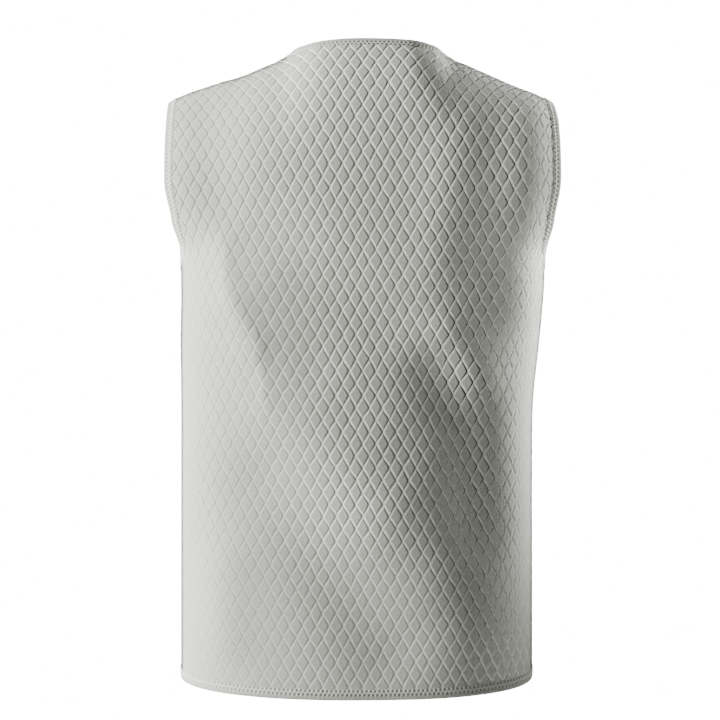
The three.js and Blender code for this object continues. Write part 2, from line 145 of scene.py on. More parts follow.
FOLDS = (
    Fold(from_x=-128, from_z=-242, mid_x=-77, mid_z=-331, to_x=22, to_z=-430, width=42, height=6.5),
    Fold(from_x=-141, from_z=-182, mid_x=-125, mid_z=-240, to_x=-110, to_z=-278, width=15, height=2.2),
    Fold(from_x=-17, from_z=-316, mid_x=0, mid_z=-331, to_x=17, to_z=-346, width=36, height=3),
    Fold(from_x=-100, from_z=-158, mid_x=-52, mid_z=-207, to_x=22, to_z=-247, width=40, height=-4),
    Fold(from_x=-100, from_z=-420, mid_x=-57, mid_z=-474, to_x=27, to_z=-573, width=40, height=-6),
    Fold(from_x=166, from_z=-52, mid_x=163, mid_z=-130, to_x=161, to_z=-235, width=27, height=5),
    Fold(from_x=62, from_z=2, mid_x=94, mid_z=-60, to_x=78, to_z=-190, width=30, height=3.5),
    Fold(from_x=77, from_z=-306, mid_x=104, mid_z=-356, to_x=114, to_z=-460, width=30, height=-6),
    Fold(from_x=85, from_z=-266, mid_x=95, mid_z=-281, to_x=116, to_z=-309, width=20, height=3),
    Fold(from_x=77, from_z=-519, mid_x=87, mid_z=-534, to_x=97, to_z=-549, width=36, height=2),
    Fold(from_x=-139, from_z=-499, mid_x=-139, mid_z=-529, to_x=-139, to_z=-568, width=26, height=4),
    Fold(from_x=-156, from_z=-44, mid_x=-153, mid_z=-93, to_x=-149, to_z=-133, width=32, height=-6),
)
# The sharp crease on the left of the back: X and Z of the corners along its crest.
CREASE = ((-134, -177), (-132, -221), (-120, -241), (-102, -270), (-98, -302), (-94, -333))


def smooth_curve(at: np.ndarray, values: np.ndarray, where: np.ndarray) -> np.ndarray:
    """Reads a table on a smooth curve that is level at both ends.

    Args:
        at: the places of the rows, rising.
        values: the value at each row.
        where: the places to read.

    Returns:
        The value at each place.
    """
    slopes = np.zeros_like(values)
    slopes[1:-1] = (values[2:] - values[:-2]) / (at[2:] - at[:-2])
    i = np.clip(np.searchsorted(at, where) - 1, 0, len(at) - 2)
    span = at[i + 1] - at[i]
    t = np.clip((where - at[i]) / span, 0.0, 1.0)
    t2, t3 = t * t, t * t * t
    return (
        (2 * t3 - 3 * t2 + 1) * values[i]
        + (t3 - 2 * t2 + t) * span * slopes[i]
        + (3 * t2 - 2 * t3) * values[i + 1]
        + (t3 - t2) * span * slopes[i + 1]
    )


def smooth_step(low: float, high: float, where: np.ndarray) -> np.ndarray:
    """Eases from 0 at one value to 1 at another.

    Args:
        low: where it leaves 0.
        high: where it reaches 1.
        where: the values to ease.

    Returns:
        The eased values.
    """
    t = np.clip((where - low) / (high - low), 0.0, 1.0)
    return t * t * (3 - 2 * t)


def between(low: float, high: float, share: np.ndarray) -> np.ndarray:
    """Goes from one value to another by a share of the way."""
    return low + (high - low) * share


class Stretch(NamedTuple):
    """A stretch from a start to an end, over which something may ease in from 0 to 1."""

    start: float
    end: float

    def at(self, where: np.ndarray) -> np.ndarray:
        """Gives how far it has eased in at places."""
        return smooth_step(self.start, self.end, where)


def lengths_along(*columns: np.ndarray) -> np.ndarray:
    """Adds up the lengths along a run of points, given by their columns."""
    return np.concatenate([[0.0], np.cumsum(np.sqrt(sum(np.diff(column) ** 2 for column in columns)))])


def distance_to_run(
    x: np.ndarray, z: np.ndarray, start: tuple[float, float], end: tuple[float, float]
) -> np.ndarray:
    """Finds how far places lie from a straight run, as seen from behind.

    Args:
        x: the places across.
        z: their heights.
        start: where the run starts.
        end: where it ends.

    Returns:
        The distances.
    """
    along_x, along_z = end[0] - start[0], end[1] - start[1]
    share = ((x - start[0]) * along_x + (z - start[1]) * along_z) / (along_x**2 + along_z**2)
    near = np.clip(share, 0.0, 1.0)
    return np.hypot(x - start[0] - near * along_x, z - start[1] - near * along_z)


def unit(vectors: np.ndarray) -> np.ndarray:
    """Scales each row to length one."""
    return vectors / np.maximum(np.linalg.norm(vectors, axis=1, keepdims=True), TINY)


@dataclass(frozen=True)
class VestForm:
    """The form that the vest keeps: its sections, shoulder line, edges and folds, in millimetres."""

    wall: float = 3.0
    roundness: float = 2.5
    hem_centre_z: float = -617.8
    hem_side_z: float = -606.3
    hem_curve: float = 2.2
    back_neck_z: float = 25.0
    v_neck_z: float = -140.0
    neck_left: float = 88.0
    neck_right: float = 95.0
    front_neck_slope: float = 0.35
    neck_curve: float = 2.0
    v_neck_curve: float = 0.9
    armhole_top: float = -22.0
    armhole_bottom: float = -199.0
    armhole_back: float = 76.0
    armhole_front: float = 80.0
    centre_edge: float = 7.5
    seam_sink: float = 0.9
    seam_reach: float = 3.0
    fold_fade: float = 40.0
    crease_height: float = 1.9
    crease_fall: float = 8.0
    nudge: float = 0.4

    @property
    def armhole_middle(self) -> float:
        """The height of the middle of the armholes."""
        return (self.armhole_top + self.armhole_bottom) / 2

    @property
    def armhole_half(self) -> float:
        """Half the height of the armholes."""
        return (self.armhole_top - self.armhole_bottom) / 2

    def hem_height(self, share: np.ndarray) -> np.ndarray:
        """Gives the height of the hem from the centre line (share 0) to the side (share 1)."""
        return between(self.hem_centre_z, self.hem_side_z, share**self.hem_curve)

    def neck_side(self, side: Side) -> float:
        """Where the neckline meets the shoulder seam, from the centre."""
        return self.neck_left if side is Side.LEFT else self.neck_right

    def armhole_depth(self, face: Face) -> float:
        """How far the armhole reaches to the back or the front."""
        return self.armhole_back if face is Face.BACK else self.armhole_front

    def level(self, column: str, z: np.ndarray) -> np.ndarray:
        """Reads a column of the level sections.

        Args:
            column: the column's name.
            z: the heights to read.

        Returns:
            The column's value at each height.
        """
        rows = np.array([row.z for row in LEVELS], float)
        values = np.array([getattr(row, column) for row in LEVELS], float)
        return smooth_curve(rows, values, np.asarray(z, float))

    def ridge(self, face: Face, side: Side, x: np.ndarray) -> np.ndarray:
        """Reads the height of the shoulder line.

        Args:
            face: behind, the line climbs the neck, and in front it runs on straight.
            side: the half.
            x: distances from the centre.

        Returns:
            The height at each distance.
        """
        x = np.asarray(x, float)
        rows = np.array([getattr(row, side.value) for row in RIDGE], float)
        values = np.array([row.z for row in RIDGE], float)
        table = smooth_curve(rows, values, x)
        if face is Face.BACK:
            return table
        neck = self.neck_side(side)
        straight = smooth_curve(rows, values, np.array(neck)) + self.front_neck_slope * (neck - x)
        return np.where(x > neck, table, straight)

    def depth_at(self, face: Face, side: Side, x: np.ndarray, z: np.ndarray) -> np.ndarray:
        """Finds how far out along Y the cloth lies.

        Args:
            face: the panel.
            side: the half.
            x: distances from the centre.
            z: heights.

        Returns:
            The distance from the plane between back and front.
        """
        low = np.minimum(z, YOKE_Z)
        across = (x / self.level(side.value, low)) ** self.roundness
        depth = self.level(face.value, low) * np.maximum(1 - across, TINY) ** (1 / self.roundness)
        rise = (np.maximum(z, YOKE_Z) - YOKE_Z) / (self.ridge(face, side, x) - YOKE_Z)
        return depth * np.sqrt(np.maximum(1 - rise**2, 0.0))

    def outsideness(self, points: np.ndarray) -> np.ndarray:
        """Tells how far outside the cloth points lie: 0 on it, less than 0 within.

        Args:
            points: a row of X, Y and Z for each point.

        Returns:
            The value of each point.
        """
        value = np.empty(len(points))
        on_left, behind = points[:, 0] < 0, points[:, 1] < 0
        for face in Face:
            for side in Side:
                pick = (behind == (face is Face.BACK)) & (on_left == (side is Side.LEFT))
                x, y, z = np.abs(points[pick, 0]), np.abs(points[pick, 1]), points[pick, 2]
                low = np.minimum(z, YOKE_Z)
                across = (x / self.level(side.value, low)) ** self.roundness
                depth = self.level(face.value, low)
                level = across + (y / depth) ** self.roundness - 1
                local = depth * np.maximum(1 - across, SMALL) ** (1 / self.roundness)
                rise = (z - YOKE_Z) / (self.ridge(face, side, x) - YOKE_Z)
                value[pick] = np.where(z <= YOKE_Z, level, (y / local) ** 2 + rise**2 - 1)
        return value

    def normals(self, points: np.ndarray) -> np.ndarray:
        """Finds the way out of the cloth at points on it.

        Args:
            points: a row for each point.

        Returns:
            A unit vector for each point.
        """
        slopes = []
        for axis in range(3):
            step = np.zeros(3)
            step[axis] = self.nudge
            slopes.append(self.outsideness(points + step) - self.outsideness(points - step))
        return unit(np.stack(slopes, axis=1))

    def lift(self, points: np.ndarray) -> np.ndarray:
        """Finds how far the folds and the sharp crease on the left lift the cloth of the back.

        Args:
            points: a row for each point.

        Returns:
            The lift of each point.
        """
        x, y, z = points.T
        total = np.zeros(len(points))
        for fold in FOLDS:
            upper = distance_to_run(x, z, (fold.from_x, fold.from_z), (fold.mid_x, fold.mid_z))
            lower = distance_to_run(x, z, (fold.mid_x, fold.mid_z), (fold.to_x, fold.to_z))
            total += fold.height * np.exp(-((np.minimum(upper, lower) / fold.width) ** 2))
        away = np.min([distance_to_run(x, z, a, b) for a, b in zip(CREASE, CREASE[1:])], axis=0)
        total += self.crease_height * np.exp(-away / self.crease_fall)
        return np.where(y > 0, 0.0, total * (1 - np.exp(-((y / self.fold_fade) ** 2))))


class ToneRow(NamedTuple):
    """How strong a painted tone of the pressing, highlight or shade, is in the middle of the back, and what
    it gains in other places.
    """

    middle: float
    right: float
    upper_right: float
    lower_right: float
    foot: float


@dataclass(frozen=True)
class Pressing:
    """How firmly the diamonds are pressed, and the painted highlight in their channels and painted shade
    beside their pads, over the back.

    Stretches are in millimetres: down from the shoulders, or out to the left or right, seen from behind.
    """

    low_down: Stretch = Stretch(430.0, 530.0)
    soft_out: float = 60.0
    soft_out_low: float = 30.0
    soft_width: float = 90.0
    soft_relief: float = 0.4
    soft_painted_highlight: float = 0.85
    soft_painted_light: float = 0.08
    soft_painted_shade: float = 1.0
    soft_painted_shade_low: float = -0.1
    slack: float = 0.4
    slack_high: float = 0.4
    slack_left: Stretch = Stretch(10.0, 75.0)
    slack_left_down: Stretch = Stretch(120.0, 230.0)
    slack_foot_down: Stretch = Stretch(430.0, 515.0)
    slack_foot_right: Stretch = Stretch(95.0, 135.0)
    firm_middle: float = 0.85
    firm_right: Stretch = Stretch(70.0, 110.0)
    tone_right: Stretch = Stretch(40.0, 110.0)
    tone_upper_down: Stretch = Stretch(290.0, 350.0)
    tone_lower_down: Stretch = Stretch(270.0, 330.0)
    tone_foot_down: Stretch = Stretch(540.0, 600.0)
    # Painted light over the back: the highlight in the pressed channels and the shade beside the pads, each
    # stronger or weaker where the back turns to or from the light.
    line: ToneRow = ToneRow(middle=1.0, right=0.3, upper_right=0.15, lower_right=-0.35, foot=0.0)
    fold: ToneRow = ToneRow(middle=0.72, right=0.0, upper_right=1.1, lower_right=1.0, foot=-0.2)

    def softness(self, points: np.ndarray) -> np.ndarray:
        """Tells how soft the quilting lies, softest on the left of the back and more so near the hem.

        Args:
            points: a row for each point.

        Returns:
            From 0 where it is crisp to 1 where it is softest.
        """
        x, y, z = points.T
        start = between(self.soft_out, self.soft_out_low, self.low_down.at(-z))
        return np.where(y < 0, smooth_step(0.0, self.soft_width, -x - start), 0.0)

    def firmness(self, points: np.ndarray) -> np.ndarray:
        """Tells how firmly the quilting is pressed: most at the back's right, least at its left and foot.

        Args:
            points: a row for each point.

        Returns:
            From about a half where it lies flattest to 1 where it is firm.
        """
        x, y, z = points.T
        left = self.slack_left.at(-x) * between(self.slack_high, 1.0, self.slack_left_down.at(-z))
        foot = self.slack_foot_down.at(-z) * (1 - self.slack_foot_right.at(x))
        firm = between(self.firm_middle, 1.0, self.firm_right.at(x))
        return np.where(y < 0, firm - self.slack * np.maximum(left, foot), 1.0)

    def tone(self, row: ToneRow, points: np.ndarray) -> np.ndarray:
        """Works out how strong a painted tone is at points of the cloth.

        Args:
            row: the tone.
            points: a row for each point.

        Returns:
            The strength at each point.
        """
        x, y, z = points.T
        right = np.where(y < 0, self.tone_right.at(x), 0.0)
        foot = np.where(y < 0, self.tone_foot_down.at(-z), 0.0)
        upper = right * (1 - self.tone_upper_down.at(-z))
        lower = right * self.tone_lower_down.at(-z) * (1 - foot)
        gain = row.right * right + row.upper_right * upper + row.lower_right * lower + row.foot * foot
        return row.middle + gain

    def lines(self, points: np.ndarray) -> np.ndarray:
        """Tells how strong the painted highlight in the pressed channels is at points of the cloth."""
        return self.tone(self.line, points) - self.soft_painted_highlight * self.softness(points)

    def folds(self, points: np.ndarray) -> np.ndarray:
        """Tells how dark the painted shade beside the pads is at points of the cloth."""
        gain = between(self.soft_painted_shade, self.soft_painted_shade_low, self.low_down.at(-points[:, 2]))
        return (1 + gain * self.softness(points)) * self.tone(self.fold, points)


@dataclass
class ClothQuarter:
    """One quarter of the cloth, laid flat: across from the centre line, and up from the yoke's base."""

    form: VestForm
    face: Face
    side: Side
    step: float = 2.5
    lowest: float = -530.0
    highest: float = 240.0
    columns: int = 161
    fine: int = 140
    hair: float = 0.001
    armhole_from: float = 120.0

    def __post_init__(self) -> None:
        """Works out where the flat cloth lies on the form."""
        form, face, side = self.form, self.face, self.side
        self.heights = np.arange(self.lowest, self.highest + self.step, self.step)
        self.shares = np.linspace(0.0, 1.0, self.columns)
        angles = np.linspace(0.0, math.pi / 2, self.fine)
        power = 2 / form.roundness
        across, inward = np.sin(angles) ** power, np.maximum(np.cos(angles), 0.0) ** power
        self.lengths = np.empty(len(self.heights))
        grid = np.empty((len(self.heights), self.columns, 3))
        for row, height in enumerate(self.heights):
            z = YOKE_Z + min(height, 0.0)
            x = form.level(side.value, z) * across
            y = form.level(face.value, z) * inward
            run = lengths_along(x, y)
            self.lengths[row] = run[-1]
            grid[row, :, 0] = np.interp(self.shares * run[-1], run, x)
            grid[row, :, 1] = np.interp(self.shares * run[-1], run, y)
            grid[row, :, 2] = z
        self.arcs = np.empty(self.columns)
        above = self.heights > 0
        rises = form.ridge(face, side, grid[-1, :, 0]) - YOKE_Z
        for column in range(self.columns):
            depth = max(grid[-1, column, 1], 1.0)
            y, z = depth * np.cos(angles), rises[column] * np.sin(angles)
            run = lengths_along(y, z)
            self.arcs[column] = run[-1]
            turn = np.interp(self.heights[above], run, angles)
            turn += np.maximum(self.heights[above] - run[-1], 0.0) / depth
            grid[above, column, 1] = depth * np.cos(turn)
            grid[above, column, 2] = YOKE_Z + rises[column] * np.sin(turn)
        grid[:, :, 0] *= side.sign
        grid[:, :, 1] *= face.sign
        self.points = grid
        self.normals = form.normals(grid.reshape(-1, 3)).reshape(grid.shape)

    def length_at(self, v: np.ndarray) -> np.ndarray:
        """Finds the length of the cloth from the centre line to the side at heights along it."""
        return np.interp(v, self.heights, self.lengths)

    def place(self, u: np.ndarray, v: np.ndarray) -> tuple[np.ndarray, np.ndarray, np.ndarray]:
        """Puts flat places on the form.

        Args:
            u: lengths across from the centre line.
            v: heights along the cloth.

        Returns:
            The points inside the cloth, the ways out there, and each place's share of the width.
        """
        share = np.clip(u / self.length_at(v), 0.0, 1.0)
        row = np.clip((v - self.lowest) / self.step, 0, len(self.heights) - 1 - self.hair)
        column = np.clip(share * (self.columns - 1), 0, self.columns - 1 - self.hair)
        i, j = row.astype(int), column.astype(int)
        a, b = (row - i)[:, None], (column - j)[:, None]

        def blend(grid: np.ndarray) -> np.ndarray:
            """Reads a grid between its samples."""
            low = grid[i, j] * (1 - b) + grid[i, j + 1] * b
            high = grid[i + 1, j] * (1 - b) + grid[i + 1, j + 1] * b
            return low * (1 - a) + high * a

        return blend(self.points), unit(blend(self.normals)), u / self.length_at(v)

    def margins(self, u: np.ndarray, v: np.ndarray) -> np.ndarray:
        """Tells how far inside each edge of the panel flat places lie.

        Args:
            u: lengths across from the centre line.
            v: heights along the cloth.

        Returns:
            A row for each edge, with distances that are above 0 inside it.
        """
        form, face, side = self.form, self.face, self.side
        points, _, share = self.place(u, v)
        x, y, z = np.abs(points[:, 0]), np.abs(points[:, 1]), points[:, 2]
        to_hem = v - (form.hem_height(np.clip(share, 0, 1)) - YOKE_Z)
        half, reach = form.armhole_half, form.armhole_depth(face)
        a, b = y / reach, (z - form.armhole_middle) / half
        ring = np.maximum(np.hypot(a, b), SMALL)
        to_armhole = (ring - 1) * ring / np.maximum(np.hypot(a / reach, b / half), SMALL)
        to_armhole = np.where(x > self.armhole_from, to_armhole, FAR)
        to_neck = np.where(x < form.neck_side(side), self.neck_height(x) - z, FAR)
        to_centre = x - form.centre_edge if face is Face.FRONT else np.full(len(x), FAR)
        return np.stack([*self.to_seams(u, v), to_hem, to_armhole, to_neck, to_centre])

    def to_seams(self, u: np.ndarray, v: np.ndarray) -> tuple[np.ndarray, np.ndarray]:
        """Tells how far flat places lie from the side seam and from the shoulder seam.

        Args:
            u: lengths across from the centre line.
            v: heights along the cloth.

        Returns:
            The two distances, less than 0 past the seam.
        """
        length = self.length_at(v)
        arc = np.interp(np.clip(u / length, 0, 1), self.shares, self.arcs)
        return length - u, arc - v

    def neck_height(self, x: np.ndarray) -> np.ndarray:
        """Finds the height of the panel's neckline.

        Args:
            x: distances from the centre.

        Returns:
            The height at each distance.
        """
        form = self.form
        end = form.neck_side(self.side)
        end_z = float(form.ridge(self.face, self.side, np.array(end)))
        if self.face is Face.BACK:
            return between(form.back_neck_z, end_z, np.clip(x / end, 0, 1) ** form.neck_curve)
        across = np.clip((x - form.centre_edge) / (end - form.centre_edge), 0, 1)
        return between(form.v_neck_z, end_z, across ** (1 / form.v_neck_curve))


class Wave(NamedTuple):
    """A slow wave over the flat cloth: its radians for each millimetre across and up, and its start."""

    across: float
    up: float
    start: float = 0.0

    def at(self, u: np.ndarray, v: np.ndarray) -> np.ndarray:
        """Gives the wave's height at flat places."""
        return np.sin(self.across * u + self.up * v + self.start)


@dataclass(frozen=True)
class DiamondQuilt:
    """The pressed diamond lattice of the knit, in millimetres, with the steps across one diamond."""

    width: float = 13.1
    height: float = 24.0
    relief: float = 0.7
    steps: tuple[float, ...] = (0.0, 0.059, 0.166, 0.834, 0.941, 1.0)
    channel: float = 0.68
    edge: float = 1.9
    corner: float = 0.5
    wobble_across: float = 0.228
    wobble_up: float = 0.38
    sway: tuple[Wave, ...] = (Wave(0.29, 0.11), Wave(-0.05, 0.17, 1.3), Wave(0.19, 0.41))
    bob: tuple[Wave, ...] = (Wave(0.23, -0.13, 0.7), Wave(0.09, 0.31))
    bow: float = 0.5
    blunt_left: float = 0.48
    blunt_right: float = 0.8
    # The painted shade along a pad's right edge: its strength at the top and bottom corners, and its rise
    # towards the right corner.
    shade_end: float = 0.35
    shade_rise: float = 0.75
    fade_up: Stretch = Stretch(-240.0, -150.0)
    fade_low: Stretch = Stretch(0.65, 0.82)
    fade_high: Stretch = Stretch(0.78, 0.93)
    fade_rest: float = 0.3
    spare: int = 60
    past_across: float = 15.0
    past_up: float = 25.0
    least_margin: float = 0.02
    wall_slope: float = 0.05

    def place(self, p: np.ndarray, q: np.ndarray) -> tuple[np.ndarray, np.ndarray]:
        """Puts lattice places on the flat cloth, with the slight unevenness of soft knit.

        Args:
            p: diamonds counted along one diagonal.
            q: diamonds counted along the other.

        Returns:
            The lengths across and up.
        """
        u, v = (p - q) * self.width / 2, (p + q) * self.height / 2
        sway = self.wobble_across * sum(wave.at(u, v) for wave in self.sway)
        bob = self.wobble_up * sum(wave.at(u, v) for wave in self.bob)
        bow = self.bow * (np.sin(2 * np.pi * q) - np.sin(2 * np.pi * p))
        low, high = self.steps[2], self.steps[-3]
        right = np.isclose(p % 1, high) & np.isclose(q % 1, low)
        left = np.isclose(p % 1, low) & np.isclose(q % 1, high)
        tip = self.blunt_left * left - self.blunt_right * right
        return u + sway + bow + tip, v + bob

    def swell(self, p: np.ndarray, q: np.ndarray) -> np.ndarray:
        """Gives the rise of the padding in a diamond, 0 in the channel and 1 on top, with rounded corners.

        Args:
            p: shares of the way across along one pair of sides.
            q: shares along the other pair.

        Returns:
            The rise at each place.
        """
        apart = self.width * self.height / 2 / math.hypot(self.width / 2, self.height / 2)
        sides = np.stack([p, 1 - p, q, 1 - q]) * apart
        nearest = -self.corner * np.log(np.exp(-sides / self.corner).sum(axis=0))
        return smooth_step(self.channel, self.edge, nearest)

    def shade(self, p: np.ndarray, q: np.ndarray) -> np.ndarray:
        """Tells where the painted shade lies along a pad's right edge, the wall turned from the light,
        darkest at its right corner.

        Args:
            p: shares of the way across along one pair of sides.
            q: shares along the other pair.

        Returns:
            From 0 outside the painted shade to 1 where it is darkest.
        """
        low, high = self.steps[1], self.steps[-2]
        upper = np.where((p == high) & (q > 0), self.shade_end + self.shade_rise * (1 - q), 0.0)
        lower = np.where((q == low) & (p > 0), self.shade_end + self.shade_rise * p, 0.0)
        return np.clip(np.maximum(upper, lower), 0.0, 1.0)

    def fade(self, share: np.ndarray, z: np.ndarray) -> np.ndarray:
        """Gives how firmly the diamonds are pressed, softer towards the sides of the body.

        Args:
            share: the share of the way from the centre line to the side.
            z: the height.

        Returns:
            From 1 where they are firm to the rest that stays at the sides.
        """
        up = self.fade_up.at(z)
        start = between(self.fade_low.start, self.fade_high.start, up)
        end = between(self.fade_low.end, self.fade_high.end, up)
        return between(1.0, self.fade_rest, smooth_step(start, end, share))


@dataclass
class FlatCut:
    """A panel cut out of the quilt and still flat: its places and its faces."""

    u: np.ndarray
    v: np.ndarray
    pad: np.ndarray
    # Painted shade along the pads' right edges, at each place.
    shade: np.ndarray
    outer: list[tuple[int, ...]]
    inner: list[tuple[int, ...]]
    rim: np.ndarray

    def area(self) -> float:
        """Gives the area of the flat panel, in square millimetres."""
        (u, next_u), (v, next_v) = self.u[self.rim].T, self.v[self.rim].T
        return float(0.5 * (u * next_v - next_u * v).sum())

    def size(self) -> tuple[float, float]:
        """Gives the width and the length of the flat panel, in millimetres."""
        return float(np.ptp(self.u[self.rim])), float(np.ptp(self.v[self.rim]))


def cut_triangles(
    triangles: np.ndarray, value: np.ndarray, columns: list[np.ndarray]
) -> tuple[np.ndarray, list[np.ndarray]]:
    """Trims triangles to where a value is above 0.

    Args:
        triangles: three place numbers a row.
        value: the value at each place.
        columns: arrays with an entry for each place, which get entries for the new places.

    Returns:
        The trimmed triangles, and the arrays with the new places.
    """
    inside = value[triangles] > 0
    count = inside.sum(axis=1)
    whole = triangles[count == 3]

    def turned(pick: np.ndarray, first: np.ndarray) -> np.ndarray:
        """Turns each picked triangle so that its odd corner comes first."""
        shift = first[pick].argmax(axis=1)
        order = (shift[:, None] + np.arange(3)) % 3
        return np.take_along_axis(triangles[pick], order, axis=1)

    lone = turned(count == 1, inside)
    pair = turned(count == 2, ~inside)
    edges = np.concatenate([lone[:, [0, 1]], lone[:, [0, 2]], pair[:, [0, 1]], pair[:, [0, 2]]])
    ends, number = np.unique(np.sort(edges, axis=1), axis=0, return_inverse=True)
    number = number.ravel() + len(value)
    share = value[ends[:, 0]] / (value[ends[:, 0]] - value[ends[:, 1]])
    grown = [
        np.concatenate([c, c[ends[:, 0]] + (c[ends[:, 1]] - c[ends[:, 0]]) * share]) for c in columns
    ]
    n, m = len(lone), len(pair)
    tips = np.stack([lone[:, 0], number[:n], number[n : 2 * n]], axis=1)
    near, far = number[2 * n : 2 * n + m], number[2 * n + m :]
    first = np.stack([near, pair[:, 1], pair[:, 2]], axis=1)
    second = np.stack([near, pair[:, 2], far], axis=1)
    return np.concatenate([whole, tips, first, second]), grown


@dataclass
class Diamonds:
    """Diamonds of the lattice: their numbers along both diagonals, and the small grid of places in each.

    A place has its whole count and its share of a diamond along each diagonal.
    """

    i: np.ndarray
    j: np.ndarray
    cells: np.ndarray
    counts: tuple[np.ndarray, np.ndarray]
    shares: tuple[np.ndarray, np.ndarray]

    @classmethod
    def over(cls, quilt: DiamondQuilt, across: Stretch, up: Stretch) -> "Diamonds":
        """Lays diamonds over a stretch of the flat cloth and a little past it.

        Args:
            quilt: the lattice.
            across: the stretch across.
            up: the stretch up.

        Returns:
            The diamonds.
        """
        steps = np.array(quilt.steps)
        n = len(steps) - 1
        wide, tall = across.end - across.start, up.end - up.start
        reach = int(wide / quilt.width + tall / quilt.height) + quilt.spare
        numbers = np.arange(-reach, reach)
        i, j = (grid.ravel() for grid in np.meshgrid(numbers, numbers, indexing="ij"))
        centre_u, centre_v = (i - j) * quilt.width / 2, (i + j + 1) * quilt.height / 2
        keep = (centre_u > across.start - quilt.past_across) & (centre_u < across.end + quilt.past_across)
        keep &= (centre_v > up.start - quilt.past_up) & (centre_v < up.end + quilt.past_up)
        i, j = i[keep], j[keep]
        near_i, near_j = np.meshgrid(np.arange(n + 1), np.arange(n + 1), indexing="ij")
        fine_i = (i[:, None, None] + reach) * n + near_i
        fine_j = (j[:, None, None] + reach) * n + near_j
        stride = 4 * reach * n
        keys, number = np.unique((fine_i * stride + fine_j).ravel(), return_inverse=True)
        fine_i, fine_j = keys // stride, keys % stride
        counts = (fine_i // n - reach, fine_j // n - reach)
        shares = (steps[fine_i % n], steps[fine_j % n])
        return cls(i, j, number.reshape(len(i), n + 1, n + 1), counts, shares)

    def squares(self, pick: np.ndarray) -> np.ndarray:
        """Lists the small squares of the picked diamonds."""
        c = self.cells[pick]
        ring = np.stack([c[:, :-1, :-1], c[:, 1:, :-1], c[:, 1:, 1:], c[:, :-1, 1:]], axis=-1)
        return ring.reshape(-1, 4)

    def outlines(self, pick: np.ndarray) -> list[tuple[int, ...]]:
        """Lists one plain face for each picked diamond, which keeps all places where it meets another.

        Args:
            pick: which diamonds.

        Returns:
            The places round each diamond.
        """
        numbers = list(zip(self.i[pick].tolist(), self.j[pick].tolist()))
        picked = set(numbers)
        faces = []
        for (i, j), c in zip(numbers, self.cells[pick]):
            runs = (
                ((i, j - 1), c[:, 0]),
                ((i + 1, j), c[-1, :]),
                ((i, j + 1), c[::-1, -1]),
                ((i - 1, j), c[0, ::-1]),
            )
            ring: list[int] = []
            for neighbour, run in runs:
                ring += run[:1].tolist() if neighbour in picked else run[:-1].tolist()
            faces.append(tuple(ring))
        return faces


def cut_quilt(
    quilt: DiamondQuilt,
    margins: Callable[[np.ndarray, np.ndarray], np.ndarray],
    across: Stretch,
    up: Stretch,
) -> FlatCut:
    """Cuts a panel out of the quilt, along its diamonds inside and cleanly along its outline.

    Args:
        quilt: the lattice.
        margins: tells how far inside each edge a flat place lies.
        across: the stretch across that holds the panel.
        up: the stretch up that holds it.

    Returns:
        The flat panel.
    """
    diamonds = Diamonds.over(quilt, across, up)
    counts, shares = diamonds.counts, diamonds.shares
    u, v = quilt.place(counts[0] + shares[0], counts[1] + shares[1])
    edges = margins(u, v)
    edges = np.where(np.abs(edges) < quilt.least_margin, quilt.least_margin, edges)
    within = edges.min(axis=0) > 0
    inside = within[diamonds.cells]
    full, none = inside.all(axis=(1, 2)), ~inside.any(axis=(1, 2))
    squares = diamonds.squares(~full & ~none)
    clear = within[squares].all(axis=1)
    clear_squares, crossed = squares[clear], squares[~clear]
    trimmed = np.concatenate([crossed[:, [0, 1, 2]], crossed[:, [0, 2, 3]]])
    # Each place carries its padding, the painted shade along the pads' right edges, and its margins.
    columns = [u, v, quilt.swell(*shares), quilt.shade(*shares), *edges]
    for edge in range(len(columns) - len(edges), len(columns)):
        trimmed, columns = cut_triangles(trimmed, columns[edge], columns)
    u, v, pad, shade = columns[: -len(edges)]
    whole = np.concatenate([diamonds.squares(full), clear_squares])
    outer = [tuple(face) for part in (whole, trimmed) for face in part.tolist()]
    inner = [tuple(face) for part in (clear_squares, trimmed) for face in part.tolist()]
    inner += diamonds.outlines(full)
    sides = []
    for part in (whole, trimmed):
        count = part.shape[1]
        sides += [part[:, [k, (k + 1) % count]] for k in range(count)]
    sides = np.concatenate(sides)
    _, first, uses = np.unique(np.sort(sides, axis=1), axis=0, return_index=True, return_counts=True)
    return FlatCut(u, v, pad, shade, outer, inner, sides[first[uses == 1]])


def make_mesh(name: str, points: np.ndarray, faces: list[tuple[int, ...]]) -> bpy.types.Object:
    """Makes an object at the origin from points in millimetres.

    Args:
        name: the object's name.
        points: a row for each point.
        faces: the point numbers of each face, in order round it from outside.

    Returns:
        The new object, smooth shaded.
    """
    mesh = bpy.data.meshes.new(name)
    mesh.from_pydata((points * MM).tolist(), [], faces)
    mesh.polygons.foreach_set("use_smooth", np.ones(len(mesh.polygons), bool))
    mesh.update()
    piece = bpy.data.objects.new(name, mesh)
    bpy.context.scene.collection.objects.link(piece)
    return piece


def add_values(piece: bpy.types.Object, name: str, values: np.ndarray) -> None:
    """Stores one value for each point of a piece.

    Args:
        piece: the piece.
        name: the attribute's name.
        values: a value for each point.
    """
    attribute = piece.data.attributes.new(name, "FLOAT", "POINT")
    attribute.data.foreach_set("value", values.astype(np.float32))


def add_flat_map(piece: bpy.types.Object, u: np.ndarray, v: np.ndarray) -> None:
    """Stores where each point lay on the flat cloth, in metres, as the piece's UV map.

    Args:
        piece: the piece.
        u: lengths across.
        v: lengths up.
    """
    layer = piece.data.uv_layers.new(name="flat_cloth")
    corner = np.empty(len(piece.data.loops), np.int32)
    piece.data.loops.foreach_get("vertex_index", corner)
    flat = np.stack([u, v], axis=1)[corner] * MM
    layer.data.foreach_set("uv", flat.astype(np.float32).ravel())


